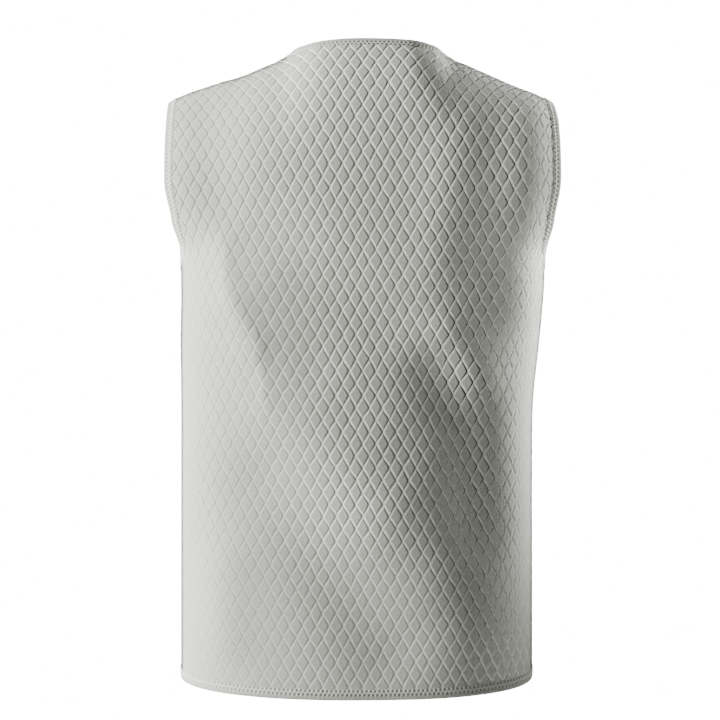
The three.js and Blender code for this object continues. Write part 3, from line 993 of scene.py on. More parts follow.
def sweep_faces(count: int, sides: int, closed: bool) -> list[tuple[int, ...]]:
    """Joins rings of points into the faces of a swept piece.

    Args:
        count: how many rings.
        sides: how many points a ring.
        closed: whether the last ring joins the first, and no ends are capped.

    Returns:
        The point numbers of each face.
    """
    ring = np.arange(sides)
    after = (ring + 1) % sides
    faces: list[tuple[int, ...]] = []
    for k in range(count if closed else count - 1):
        here, there = k * sides, ((k + 1) % count) * sides
        block = np.stack([here + ring, there + ring, there + after, here + after], axis=1)
        faces += [tuple(face) for face in block.tolist()]
    if not closed:
        faces.append(tuple(range(sides)))
        faces.append(tuple(range((count - 1) * sides, count * sides))[::-1])
    return faces


def surface_normals(points: np.ndarray, faces: list[tuple[int, ...]]) -> np.ndarray:
    """Finds the smooth way out of an open surface at its points.

    Args:
        points: a row for each point.
        faces: the point numbers of each face.

    Returns:
        A unit vector for each point.
    """
    mesh = bpy.data.meshes.new("surface")
    mesh.from_pydata((points * MM).tolist(), [], faces)
    normals = np.empty(len(points) * 3, np.float32)
    mesh.vertex_normals.foreach_get("vector", normals)
    bpy.data.meshes.remove(mesh)
    return normals.reshape(-1, 3)


def keep_crisp(
    piece: bpy.types.Object, smooth: np.ndarray, pad: np.ndarray, least: float, flat_count: int
) -> None:
    """Shades pads and channels as smoothly as the cloth, with crisp walls between them and a crisp rim.

    Args:
        piece: the panel.
        smooth: the smooth way out at each point.
        pad: how far each point stands on the padding.
        least: how far the padding rises over a face that is a wall.
        flat_count: how many faces come before those of the rim.
    """
    mesh = piece.data
    start, length = np.empty(len(mesh.polygons), np.int32), np.empty(len(mesh.polygons), np.int32)
    mesh.polygons.foreach_get("loop_start", start)
    mesh.polygons.foreach_get("loop_total", length)
    corner = np.empty(len(mesh.loops), np.int32)
    mesh.loops.foreach_get("vertex_index", corner)
    own = np.empty(len(mesh.polygons) * 3, np.float32)
    mesh.polygons.foreach_get("normal", own)
    slope = np.maximum.reduceat(pad[corner], start) - np.minimum.reduceat(pad[corner], start)
    crisp = np.repeat((slope > least) | (np.arange(len(start)) >= flat_count), length)
    normals = np.where(crisp[:, None], np.repeat(own.reshape(-1, 3), length, axis=0), smooth[corner])
    mesh.normals_split_custom_set(normals.tolist())


@dataclass
class QuiltedPanel:
    """A panel of padded diamond knit on the vest's form."""

    name: str
    node: str
    face: Face
    sides: tuple[Side, ...]
    form: VestForm
    quarters: dict[tuple[Face, Side], ClothQuarter]
    quilt: DiamondQuilt = field(default_factory=DiamondQuilt)
    pressing: Pressing = field(default_factory=Pressing)
    flat: tuple[float, float] = (0.0, 0.0)
    flat_area: float = 0.0

    def halves(self, u: np.ndarray) -> list[tuple[ClothQuarter, np.ndarray]]:
        """Sorts flat places into the quarters that they lie on.

        Args:
            u: lengths across, less than 0 on the left of a panel with two halves.

        Returns:
            Each quarter with the places on it.
        """
        if len(self.sides) == 1:
            return [(self.quarters[self.face, self.sides[0]], np.ones(len(u), bool))]
        left, right = (self.quarters[self.face, side] for side in (Side.LEFT, Side.RIGHT))
        return [(left, u < 0), (right, u >= 0)]

    def margins(self, u: np.ndarray, v: np.ndarray) -> np.ndarray:
        """Tells how far inside each edge of the panel flat places lie.

        Args:
            u: lengths across.
            v: heights along the cloth.

        Returns:
            A row for each edge.
        """
        rows = [(pick, quarter.margins(np.abs(u[pick]), v[pick])) for quarter, pick in self.halves(u)]
        result = np.empty((len(rows[0][1]), len(u)))
        for pick, values in rows:
            result[:, pick] = values
        return result

    def cut(self) -> FlatCut:
        """Cuts the panel out of the quilt, and notes its flat size.

        Returns:
            The flat panel.
        """
        widest = max(float(quarter.lengths.max()) for quarter in self.quarters.values())
        across = Stretch(-widest if len(self.sides) == 2 else 0.0, widest)
        up = Stretch(self.form.hem_centre_z - YOKE_Z, ClothQuarter.highest)
        flat = cut_quilt(self.quilt, self.margins, across, up)
        self.flat = (flat.size()[0] * MM, flat.size()[1] * MM)
        self.flat_area = flat.area() * MM * MM
        return flat

    def faces(self, cut: FlatCut) -> list[tuple[int, ...]]:
        """Lists the faces of the panel: its outside, its inside and its rim.

        Args:
            cut: the flat panel, whose places the inside has once more after those of the outside.

        Returns:
            The place numbers of each face.
        """
        total = len(cut.u)
        faces = list(cut.outer)
        faces += [tuple(total + k for k in reversed(face)) for face in cut.inner]
        faces += [(b, a, a + total, b + total) for a, b in cut.rim.tolist()]
        if self.face is Face.FRONT and self.sides[0] is Side.RIGHT:
            faces = [face[::-1] for face in faces]
        return faces

    def build(self) -> bpy.types.Object:
        """Cuts the panel, lays it on the form and presses the diamonds.

        Returns:
            The panel.
        """
        form, pressing, cut = self.form, self.pressing, self.cut()
        total = len(cut.u)
        points, normals = np.empty((total, 3)), np.empty((total, 3))
        fade, seam = np.empty(total), np.empty(total)
        for quarter, pick in self.halves(cut.u):
            u, v = np.abs(cut.u[pick]), cut.v[pick]
            points[pick], normals[pick], share = quarter.place(u, v)
            away = np.minimum(*quarter.to_seams(u, v))
            seam[pick] = form.seam_sink * (1 - smooth_step(0.0, form.seam_reach, away))
            fade[pick] = self.quilt.fade(share, points[pick, 2])
        fade *= pressing.firmness(points)
        soft = pressing.softness(points)
        pressed = self.quilt.relief * fade * (1 - pressing.soft_relief * soft) * (1 - cut.pad)
        inside = points + normals * form.lift(points)[:, None]
        outside = inside + normals * (form.wall - np.maximum(pressed, seam))[:, None]
        plain = inside + normals * (form.wall - seam)[:, None]
        faces = self.faces(cut)
        used = np.unique(np.concatenate([np.array(face) for face in faces]))
        renumber = np.full(2 * total, -1)
        renumber[used] = np.arange(len(used))
        faces = [tuple(renumber[list(face)].tolist()) for face in faces]
        piece = make_mesh(self.name, np.concatenate([outside, inside])[used], faces)
        add_flat_map(piece, np.tile(cut.u, 2)[used], np.tile(cut.v, 2)[used])
        # Painted highlight: a paler colour in the pressed channels between the pads, and painted light over
        # the soft left of the back.
        line = fade * (1 - cut.pad) * (1 - cut.shade) * pressing.lines(points) + pressing.soft_painted_light * soft
        # Painted shade: a darker colour along the pads' right edges, the walls turned from the light, kept
        # as the hole value.
        fold = fade * cut.shade * pressing.folds(points)
        for name, values in (("paler", line), ("hole", fold)):
            add_values(piece, name, np.concatenate([values, np.zeros(total)])[used])
        smooth = surface_normals(np.concatenate([plain, plain])[used], faces[: len(cut.outer)])
        below = used[used >= total]
        smooth[renumber[below]] = -smooth[renumber[below - total]]
        flat_count = len(cut.outer) + len(cut.inner)
        keep_crisp(piece, smooth, np.tile(cut.pad, 2)[used], self.quilt.wall_slope, flat_count)
        return piece


@dataclass(frozen=True)
class CoverStitch:
    """The two rows of stitching along a folded edge, in millimetres from the cut edge, the painted shade in
    their needle holes and the paleness of their thread.
    """

    rows: tuple[float, float] = (0.4, 4.2)
    row_past: float = 0.4
    pitch: float = 4.3
    stations: int = 4
    hole: float = 1.0
    depth: float = 1.1
    thread: float = 1.1
    proud: float = 0.4
    dash: Stretch = Stretch(0.15, 0.4)
    # How dark the painted shade in the needle holes is, how much weaker it gets on the soft, lit left of the
    # back, and how pale the thread is.
    tone: float = 0.9
    soft_tone: float = 0.8
    pale: float = 0.55

    def sew(self, s: np.ndarray, o: np.ndarray) -> tuple[np.ndarray, np.ndarray]:
        """Works out the needle holes and the thread between them, with the second row half a stitch on.

        Args:
            s: lengths along the band.
            o: lengths across it.

        Returns:
            How far each place sinks into a hole, and how far the thread stands up there.
        """
        sink, dash = np.zeros_like(s), np.zeros_like(s)
        for row, shift in zip(self.rows, (0.0, 0.5)):
            phase = (s / self.pitch + shift + 0.5) % 1.0 - 0.5
            away = np.hypot(phase * self.pitch, o - row)
            sink = np.maximum(sink, np.exp(-((away / self.hole) ** 2)))
            dash = np.maximum(dash, self.dash.at(np.abs(phase)) * np.exp(-((o - row) ** 2)))
        zigzag = np.abs((s / self.pitch) % 1.0 * 2 - 1)
        line = between(self.rows[1], self.rows[0], zigzag)
        within = (o > self.rows[0] - self.row_past) & (o < self.rows[1] + self.row_past)
        thread = np.where(within, np.exp(-(((o - line) / self.thread) ** 2)), 0.0)
        return sink * self.depth, np.maximum(thread, dash) * self.proud * (1 - sink)


@dataclass
class EdgeBand:
    """A folded band along an edge of the vest, with its coverstitch, in millimetres."""

    name: str
    node: str
    path: np.ndarray
    closed: bool
    form: VestForm
    stitch: CoverStitch = field(default_factory=CoverStitch)
    pressing: Pressing = field(default_factory=Pressing)
    width: float = 10.0
    turn: float = 2.0
    top: float = 3.35
    bottom: float = -0.35
    lap: Stretch = Stretch(-2.2, -0.3)
    lap_up: float = 1.6
    outs: tuple[float, ...] = (
        *(-2.2, -1.7, -1.1, -0.5, 0.1, 0.6, 1.1, 1.7, 2.4, 3.1, 3.7, 4.3, 4.9, 5.6),
        *(6.6, 7.8, 8.8, 9.5, 9.9, 10.0),
    )

    def stations(self) -> tuple[np.ndarray, np.ndarray, np.ndarray, np.ndarray]:
        """Spaces the path evenly, with a few stations to each stitch.

        Returns:
            The points, the ways out of the cloth's edge, the ways out of its face, and the lengths along.
        """
        path = np.concatenate([self.path, self.path[:1]]) if self.closed else self.path
        run = lengths_along(*path.T)
        stitches = round(run[-1] / self.stitch.pitch)
        along = np.linspace(0.0, 1.0, stitches * self.stitch.stations + 1)
        if self.closed:
            along = along[:-1]
        points = np.stack([np.interp(along * run[-1], run, column) for column in path.T], axis=1)
        normals = self.form.normals(points)
        if self.closed:
            tangents = np.roll(points, -1, axis=0) - np.roll(points, 1, axis=0)
        else:
            tangents = np.gradient(points, axis=0)
        outs = unit(np.cross(normals, unit(tangents)))
        return points, outs, normals, along * stitches * self.stitch.pitch

    def section(self) -> tuple[np.ndarray, np.ndarray, int]:
        """Works out the band's section: over the lap, round the fold, and back under with fewer points.

        Returns:
            The lengths out of the edge, the heights above the inside of the cloth, and how many are on top.
        """
        out = np.array(self.outs)
        middle = (self.top + self.bottom) / 2
        turned = np.clip((out - self.width) / self.turn + 1, 0.0, 1.0)
        bend = np.sqrt(1 - turned**2)
        rise = between(self.lap_up, self.top, self.lap.at(out))
        rise = np.where(turned > 0, between(middle, self.top, bend), rise)
        keep = np.arange(len(out) - 1) % 3 != 1
        keep[-1] = True
        under, fall = (column[::-1][1:][keep] for column in (out, between(middle, self.bottom, bend)))
        return np.concatenate([out, under]), np.concatenate([rise, fall]), len(out)

    def build(self) -> bpy.types.Object:
        """Sweeps the folded band along its edge and sinks the stitches in it.

        Returns:
            The band.
        """
        points, outs, normals, along = self.stations()
        section_out, section_up, on_top = self.section()
        o, s = np.meshgrid(section_out, along)
        top = np.arange(len(section_out)) < on_top
        sink, thread = (np.where(top, values, 0.0) for values in self.stitch.sew(s, o))
        up = section_up + thread - sink + self.form.lift(points)[:, None]
        place = points[:, None, :] + outs[:, None, :] * o[:, :, None] + normals[:, None, :] * up[:, :, None]
        faces = sweep_faces(len(points), len(section_out), self.closed)
        piece = make_mesh(self.name, place.reshape(-1, 3), faces)
        add_flat_map(piece, s.ravel(), o.ravel())
        # Painted shade in the needle holes, kept as the hole value, and a paler thread.
        tone = self.stitch.tone * (1 - self.stitch.soft_tone * self.pressing.softness(points))
        add_values(piece, "hole", (tone[:, None] * sink / self.stitch.depth).ravel())
        add_values(piece, "paler", (self.stitch.pale * thread / self.stitch.proud).ravel())
        return piece


class Way(Enum):
    """A direction in which an end of a hard piece looks, or along which its edges run."""

    UP = (0.0, 0.0, 1.0)
    DOWN = (0.0, 0.0, -1.0)
    OUT = (0.0, 1.0, 0.0)


# How near a piece's end its faces lie, in millimetres, how straight they look, and which edges stay smooth.
END_REACH = 0.01
STRAIGHT = 0.9
ROUND_ANGLE = math.radians(40.0)


def start_block(name: str, size: tuple[float, float, float]) -> bpy.types.Object:
    """Starts a hard piece as a block at the origin, and leaves it in edit mode.

    Args:
        name: the piece's name.
        size: its size along X, Y and Z, in millimetres.

    Returns:
        The block.
    """
    bpy.ops.object.select_all(action="DESELECT")
    bpy.ops.mesh.primitive_cube_add(size=MM)
    piece = bpy.context.active_object
    piece.name = name
    bpy.ops.object.mode_set(mode="EDIT")
    bpy.ops.mesh.select_mode(type="FACE")
    bpy.ops.mesh.select_all(action="SELECT")
    bpy.ops.transform.resize(value=size)
    return piece


def pick_faces(piece: bpy.types.Object, way: Way) -> None:
    """Selects the faces at the end of a piece, in edit mode, that look one way.

    Args:
        piece: the piece.
        way: the direction.
    """
    bpy.ops.mesh.select_mode(type="FACE")
    bpy.ops.mesh.select_all(action="DESELECT")
    mesh, direction = bmesh.from_edit_mesh(piece.data), Vector(way.value)
    farthest = max(face.calc_center_median().dot(direction) for face in mesh.faces)
    for face in mesh.faces:
        at_end = face.calc_center_median().dot(direction) > farthest - END_REACH * MM
        face.select_set(at_end and face.normal.dot(direction) > STRAIGHT)
    bmesh.update_edit_mesh(piece.data)


def pick_edges(piece: bpy.types.Object, way: Way) -> None:
    """Selects the edges of a piece, in edit mode, that run one way.

    Args:
        piece: the piece.
        way: the direction.
    """
    bpy.ops.mesh.select_mode(type="EDGE")
    bpy.ops.mesh.select_all(action="DESELECT")
    mesh = bmesh.from_edit_mesh(piece.data)
    for edge in mesh.edges:
        run = edge.verts[1].co - edge.verts[0].co
        edge.select_set(abs(run.normalized().dot(Vector(way.value))) > STRAIGHT)
    bmesh.update_edit_mesh(piece.data)


def taper_end(piece: bpy.types.Object, way: Way, share: float) -> None:
    """Makes one end of a piece, in edit mode, wider or narrower.

    Args:
        piece: the piece.
        way: the direction in which the end looks.
        share: its new width, as a share of the old one.
    """
    pick_faces(piece, way)
    bpy.ops.transform.resize(value=(share, 1.0, 1.0))


def step_face(piece: bpy.types.Object, inset: float, out: float) -> None:
    """Insets the outer face of a piece, in edit mode, and moves it out or in.

    Args:
        piece: the piece.
        inset: how far in from its edge, in millimetres.
        out: how far out it moves.
    """
    pick_faces(piece, Way.OUT)
    bpy.ops.mesh.inset(thickness=inset * MM)
    bpy.ops.mesh.extrude_region_move(TRANSFORM_OT_translate={"value": (0.0, out * MM, 0.0)})


def end_block(piece: bpy.types.Object, place: tuple[float, float, float]) -> None:
    """Leaves edit mode, moves the mesh to its place and smooths its rounded edges.

    Args:
        piece: the piece.
        place: where its origin goes, in millimetres.
    """
    bpy.ops.object.mode_set(mode="OBJECT")
    piece.data.transform(Matrix.Translation(Vector(place) * MM))
    bpy.ops.object.shade_smooth_by_angle(angle=ROUND_ANGLE)


class TapePoint(NamedTuple):
    """A point of the tape's section: how far it lies past the chain's edge, and how far above the tape."""

    past_chain: float
    up: float


TAPE_SECTION = (
    TapePoint(past_chain=-0.8, up=1.7),
    TapePoint(past_chain=-0.3, up=1.36),
    TapePoint(past_chain=0.0, up=0.51),
    TapePoint(past_chain=0.5, up=0.0),
    TapePoint(past_chain=1.4, up=0.0),
    TapePoint(past_chain=2.0, up=0.25),
    TapePoint(past_chain=2.6, up=0.0),
)


@dataclass
class FrontZip:
    """The closed zip down the centre front: its tape, teeth, slider and pull, in millimetres."""

    form: VestForm
    width: float = 25.0
    tape_low: float = -1.2
    tape_high: float = -0.2
    tape_rings: int = 160
    sharp_angle: float = 35.0
    past_edge: float = 10.0
    chain: float = 5.2
    chain_clear: float = 2.0
    tooth: tuple[float, float, float] = (3.5, 2.4, 1.1)
    tooth_bevel: float = 0.5
    tooth_inset: float = 0.3
    tooth_crown: float = 0.15
    pitch: float = 3.2
    tooth_up: float = 2.4
    slider_size: tuple[float, float, float] = (8.4, 2.8, 11.0)
    slider_head: float = 1.1
    slider_foot: float = 0.72
    slider_bevel: float = 0.45
    slider_drop: float = 8.6
    slider_up: float = 3.9
    crown_inset: float = 2.2
    crown_up: float = 1.1
    pull_size: tuple[float, float, float] = (5.4, 1.3, 23.0)
    pull_head: float = 0.7
    pull_corner: float = 1.3
    pull_rim: float = 0.9
    pull_hollow: float = 0.35
    pull_up: float = 2.2

    def depth(self, z: np.ndarray) -> np.ndarray:
        """Gives the distance of the centre front from the plane between back and front."""
        return self.form.level(Face.FRONT.value, z)

    def ends(self) -> tuple[float, float]:
        """Gives the heights of the foot and the top of the zip."""
        return self.form.hem_centre_z - self.past_edge, self.form.v_neck_z + self.past_edge

    def tape(self) -> bpy.types.Object:
        """Weaves the tape: a strip that reaches under the fronts, with a cord for the teeth down its middle.

        Returns:
            The tape.
        """
        out = np.array([0.0, *(self.chain / 2 + row.past_chain for row in TAPE_SECTION), self.width / 2])
        ridge = np.array([TAPE_SECTION[0].up, *(row.up for row in TAPE_SECTION), 0.0])
        across = np.concatenate([-out[::-1], out[1:]])
        up = self.tape_high + np.concatenate([ridge[::-1], ridge[1:]])
        across = np.concatenate([across, across[::-1]])
        up = np.concatenate([up, np.full(len(up), self.tape_low)])
        heights = np.linspace(*self.ends(), self.tape_rings)
        points = np.empty((len(heights), len(across), 3))
        points[:, :, 0] = across
        points[:, :, 1] = self.depth(heights)[:, None] + up
        points[:, :, 2] = heights[:, None]
        faces = sweep_faces(len(heights), len(across), closed=False)
        piece = make_mesh("zip_tape", points.reshape(-1, 3), faces)
        piece.data.set_sharp_from_angle(angle=math.radians(self.sharp_angle))
        return piece

    def teeth(self) -> bpy.types.Object:
        """Moulds one tooth and sets copies of it in two meshing rows.

        Returns:
            The rows of teeth.
        """
        tooth = start_block("zip_teeth", self.tooth)
        pick_edges(tooth, Way.UP)
        bpy.ops.mesh.bevel(offset=self.tooth_bevel * MM, segments=1)
        pick_faces(tooth, Way.OUT)
        bpy.ops.mesh.inset(thickness=self.tooth_inset * MM, depth=self.tooth_crown * MM)
        end_block(tooth, (0.0, 0.0, 0.0))
        foot, top = self.ends()
        count = int((top - foot - 2 * self.chain_clear) / (self.pitch / 2))
        aside = (self.chain - self.tooth[0]) / 2
        copies = []
        for k in range(count):
            z = foot + self.chain_clear + k * self.pitch / 2
            place = (aside if k % 2 else -aside, float(self.depth(z)) + self.tooth_up, z)
            copy = tooth.copy()
            copy.data = tooth.data.copy()
            copy.data.transform(Matrix.Translation(Vector(place) * MM))
            bpy.context.scene.collection.objects.link(copy)
            copies.append(copy)
        bpy.data.objects.remove(tooth)
        bpy.ops.object.select_all(action="DESELECT")
        for copy in copies:
            copy.select_set(True)
        bpy.context.view_layer.objects.active = copies[0]
        bpy.ops.object.join()
        copies[0].name = "zip_teeth"
        return copies[0]

    def slider(self) -> bpy.types.Object:
        """Shapes the slider: wider at its top, rounded, with a crown that the pull hangs from.

        Returns:
            The slider.
        """
        piece = start_block("zip_slider", self.slider_size)
        taper_end(piece, Way.UP, self.slider_head)
        taper_end(piece, Way.DOWN, self.slider_foot)
        step_face(piece, self.crown_inset, self.crown_up)
        bpy.ops.mesh.select_mode(type="EDGE")
        bpy.ops.mesh.select_all(action="SELECT")
        bpy.ops.mesh.bevel(offset=self.slider_bevel * MM, segments=2)
        z = self.form.v_neck_z - self.slider_drop
        end_block(piece, (0.0, float(self.depth(z)) + self.slider_up, z))
        return piece

    def pull(self) -> bpy.types.Object:
        """Shapes the pull: a rounded tab with a hollow for the finger, narrower at the slider.

        Returns:
            The pull.
        """
        piece = start_block("zip_pull", self.pull_size)
        taper_end(piece, Way.UP, self.pull_head)
        pick_edges(piece, Way.OUT)
        bpy.ops.mesh.bevel(offset=self.pull_corner * MM, segments=4)
        step_face(piece, self.pull_rim, -self.pull_hollow)
        z = self.form.v_neck_z - self.slider_drop - self.pull_size[2] / 2
        end_block(piece, (0.0, float(self.depth(z)) + self.slider_up + self.pull_up, z))
        return piece


def set_inputs(tree: bpy.types.NodeTree, node: bpy.types.Node, inputs: dict[str | int, object]) -> None:
    """Sets inputs of a node to values, or links them to other nodes' outputs.

    Args:
        tree: the tree that holds the node.
        node: the node.
        inputs: a value or an output for each input, by its name or number.
    """
    for key, value in inputs.items():
        if isinstance(value, bpy.types.NodeSocket):
            tree.links.new(value, node.inputs[key])
        else:
            node.inputs[key].default_value = value


def add_node(
    tree: bpy.types.NodeTree, kind: str, inputs: dict[str | int, object], operation: str = ""
) -> bpy.types.Node:
    """Adds a shader node to a tree.

    Args:
        tree: the tree.
        kind: the node's type, without its common first word.
        inputs: a value or an output for each input, by its name or number.
        operation: what a math node works out.

    Returns:
        The node.
    """
    node = tree.nodes.new(f"ShaderNode{kind}")
    if operation:
        node.operation = operation
    set_inputs(tree, node, inputs)
    return node


def add_range(
    tree: bpy.types.NodeTree, value: bpy.types.NodeSocket, start: Stretch, end: Stretch
) -> bpy.types.NodeSocket:
    """Adds a node that maps one range of a value to another.

    Args:
        tree: the tree.
        value: the value.
        start: the range that it has.
        end: the range that it gets.

    Returns:
        The mapped value.
    """
    ends = {"From Min": start.start, "From Max": start.end, "To Min": end.start, "To Max": end.end}
    return add_node(tree, "MapRange", {"Value": value, **ends}).outputs["Result"]


@dataclass(frozen=True)
class KnitEffect:
    """What the knits share: a mottled colour, painted shade in the needle holes and beside the pads, a paler
    colour that is a painted highlight in the panels' channels and a paler thread on the bands, and a fine
    grain.
    """

    name: str = "knit"
    detail: float = 2.0
    contrast: Stretch = Stretch(0.3, 0.7)
    # How far the painted shade darkens the colour, and how far the paler value lightens it: a painted
    # highlight in the panels' channels, a paler thread on the bands.
    painted_shade_tone: float = -0.62
    paler_tone: float = 1.3

    def group(self) -> bpy.types.NodeTree:
        """Makes the effect's node group, once.

        Returns:
            The node group.
        """
        if self.name in bpy.data.node_groups:
            return bpy.data.node_groups[self.name]
        group = bpy.data.node_groups.new(self.name, "ShaderNodeTree")
        for socket, way, kind in (
            ("Colour", "INPUT", "NodeSocketColor"),
            ("Grain scale", "INPUT", "NodeSocketFloat"),
            ("Mottle", "INPUT", "NodeSocketFloat"),
            ("Colour", "OUTPUT", "NodeSocketColor"),
            ("Grain", "OUTPUT", "NodeSocketFloat"),
        ):
            group.interface.new_socket(socket, in_out=way, socket_type=kind)
        given = group.nodes.new("NodeGroupInput").outputs
        place = add_node(group, "TexCoord", {}).outputs["Object"]
        noise = {"Vector": place, "Scale": given["Grain scale"], "Detail": self.detail}
        grain = add_node(group, "TexNoise", noise).outputs["Fac"]
        mottle = add_range(group, grain, self.contrast, Stretch(-1.0, 1.0))
        tone = add_node(group, "Math", {0: mottle, 1: given["Mottle"], 2: 1.0}, "MULTIPLY_ADD")
        # The hole value is painted shade, in the needle holes and beside the pads; the paler value lightens
        # the colour.
        for name, weight in (("hole", self.painted_shade_tone), ("paler", self.paler_tone)):
            value = group.nodes.new("ShaderNodeAttribute")
            value.attribute_name = name
            part = add_node(group, "Math", {0: value.outputs["Fac"], 1: weight, 2: 1.0}, "MULTIPLY_ADD")
            tone = add_node(group, "Math", {0: tone.outputs[0], 1: part.outputs[0]}, "MULTIPLY")
        tint = add_node(group, "VectorMath", {0: given["Colour"], "Scale": tone.outputs[0]}, "SCALE")
        result = group.nodes.new("NodeGroupOutput")
        set_inputs(group, result, {"Colour": tint.outputs["Vector"], "Grain": grain})
        return group


@dataclass(frozen=True)
class KnitFinish:
    """A matte knit: its colour, sheen, grain and mottle, and the painted shade that darkens it where it is
    seen edge on.
    """

    name: str
    colour: tuple[float, float, float]
    grain_scale: float
    grain_height: float
    mottle: float
    edge_painted_shade: float = 0.06
    edge_painted_shade_turn: Stretch = Stretch(0.73, 0.84)
    roughness: float = 0.9
    specular: float = 0.2
    sheen: float = 0.15
    sheen_roughness: float = 0.5
    effect: KnitEffect = KnitEffect()

    def material(self) -> bpy.types.Material:
        """Makes the knit's material.

        Returns:
            The material.
        """
        material = bpy.data.materials.new(self.name)
        material.use_nodes = True
        tree = material.node_tree
        knit = tree.nodes.new("ShaderNodeGroup")
        knit.node_tree = self.effect.group()
        colour = (*self.colour, 1.0)
        set_inputs(tree, knit, {"Colour": colour, "Grain scale": self.grain_scale, "Mottle": self.mottle})
        # Painted shade: the colour darkens where the surface is seen edge on.
        facing = add_node(tree, "LayerWeight", {}).outputs["Facing"]
        turned = add_range(tree, facing, self.edge_painted_shade_turn, Stretch(1.0, self.edge_painted_shade))
        tone = add_node(tree, "VectorMath", {0: knit.outputs["Colour"], "Scale": turned}, "SCALE")
        grain = {"Height": knit.outputs["Grain"], "Distance": self.grain_height * MM, "Strength": 1.0}
        bump = add_node(tree, "Bump", grain)
        finish = {
            "Base Color": tone.outputs["Vector"],
            "Normal": bump.outputs["Normal"],
            "Roughness": self.roughness,
            "Specular IOR Level": self.specular,
            "Sheen Weight": self.sheen,
            "Sheen Roughness": self.sheen_roughness,
        }
        set_inputs(tree, tree.nodes["Principled BSDF"], finish)
        return material


@dataclass(frozen=True)
class PlasticFinish:
    """A plain moulded plastic."""

    name: str
    colour: tuple[float, float, float]
    roughness: float

    def material(self) -> bpy.types.Material:
        """Makes the plastic's material.

        Returns:
            The material.
        """
        material = bpy.data.materials.new(self.name)
        material.use_nodes = True
        tree = material.node_tree
        finish = {"Base Color": (*self.colour, 1.0), "Roughness": self.roughness}
        set_inputs(tree, tree.nodes["Principled BSDF"], finish)
        return material


@dataclass(frozen=True)
class SoftBox:
    """A square studio light."""

    name: str
    place: tuple[float, float, float]
    target: tuple[float, float, float]
    size: tuple[float, float]
    power: float
    spread: float = 180.0

    def build(self) -> bpy.types.Object:
        """Hangs the light in the studio.

        Returns:
            The light.
        """
        light = bpy.data.lights.new(self.name, "AREA")
        light.shape = "RECTANGLE"
        light.size, light.size_y = self.size
        light.energy = self.power
        light.spread = math.radians(self.spread)
        lamp = bpy.data.objects.new(self.name, light)
        lamp.location = self.place
        lamp.rotation_euler = (Vector(self.target) - Vector(self.place)).to_track_quat("-Z", "Y").to_euler()
        bpy.context.scene.collection.objects.link(lamp)
        return lamp


@dataclass(frozen=True)
class Studio:
    """The camera, the pale floor and the lights."""

    camera_place: tuple[float, float, float] = (-0.0026, -2.08, -0.2912)
    lens: float = 100.0
    sensor: float = 36.0
    floor_z: float = -1.05
    floor_size: float = 2.6
    world_strength: float = 0.002
    backdrop_strength: float = 18.0
    lights: tuple[SoftBox, ...] = (
        SoftBox("key", (-1.74, -0.47, 0.33), (0.0, 0.0, -0.25), (0.8, 1.4), 149.0),
        SoftBox("edge", (-1.74, 0.47, -0.6), (0.0, 0.0, -0.3), (0.8, 0.8), 41.0),
        SoftBox("rim_low", (0.63, 0.21, -0.36), (0.15, 0.0, -0.36), (0.25, 0.25), 0.85, 56.0),
        SoftBox("rim_high", (0.63, 0.17, -0.06), (0.15, 0.0, -0.06), (0.25, 0.25), 4.9, 95.0),
        SoftBox("fill", (0.5, -0.36, 0.03), (0.18, -0.05, -0.1), (0.25, 0.25), 0.11, 60.0),
        SoftBox("front", (-0.9, 1.7, 0.15), (0.0, 0.0, -0.3), (1.0, 1.0), 18.0),
        SoftBox("top", (-0.8, -0.15, 0.8), (-0.15, 0.0, 0.0), (0.5, 0.5), 3.2),
    )

    def build(self) -> None:
        """Sets up the camera, the lights, the surroundings and the floor."""
        camera = bpy.data.cameras.new("camera")
        camera.lens = self.lens
        camera.sensor_width = self.sensor
        eye = bpy.data.objects.new("camera", camera)
        eye.location = self.camera_place
        eye.rotation_euler = (math.pi / 2, 0.0, 0.0)
        bpy.context.scene.collection.objects.link(eye)
        bpy.context.scene.camera = eye
        for light in self.lights:
            light.build()
        world = bpy.data.worlds.new("studio")
        bpy.context.scene.world = world
        world.use_nodes = True
        tree = world.node_tree
        seen = add_node(tree, "LightPath", {}).outputs["Is Camera Ray"]
        glow = Stretch(self.world_strength, self.backdrop_strength)
        strength = add_range(tree, seen, Stretch(0.0, 1.0), glow)
        set_inputs(tree, tree.nodes["Background"], {"Color": (1.0, 1.0, 1.0, 1.0), "Strength": strength})
        self.lay_floor()

    def lay_floor(self) -> None:
        """Lays the pale floor under the vest."""
        bpy.ops.object.select_all(action="DESELECT")
        bpy.ops.mesh.primitive_plane_add(size=self.floor_size, location=(0.0, 0.0, self.floor_z))
        floor = bpy.context.active_object
        floor.name = "floor"
        paint = PlasticFinish("pale_floor", colour=(0.72, 0.72, 0.71), roughness=0.9)
        floor.data.materials.append(paint.material())


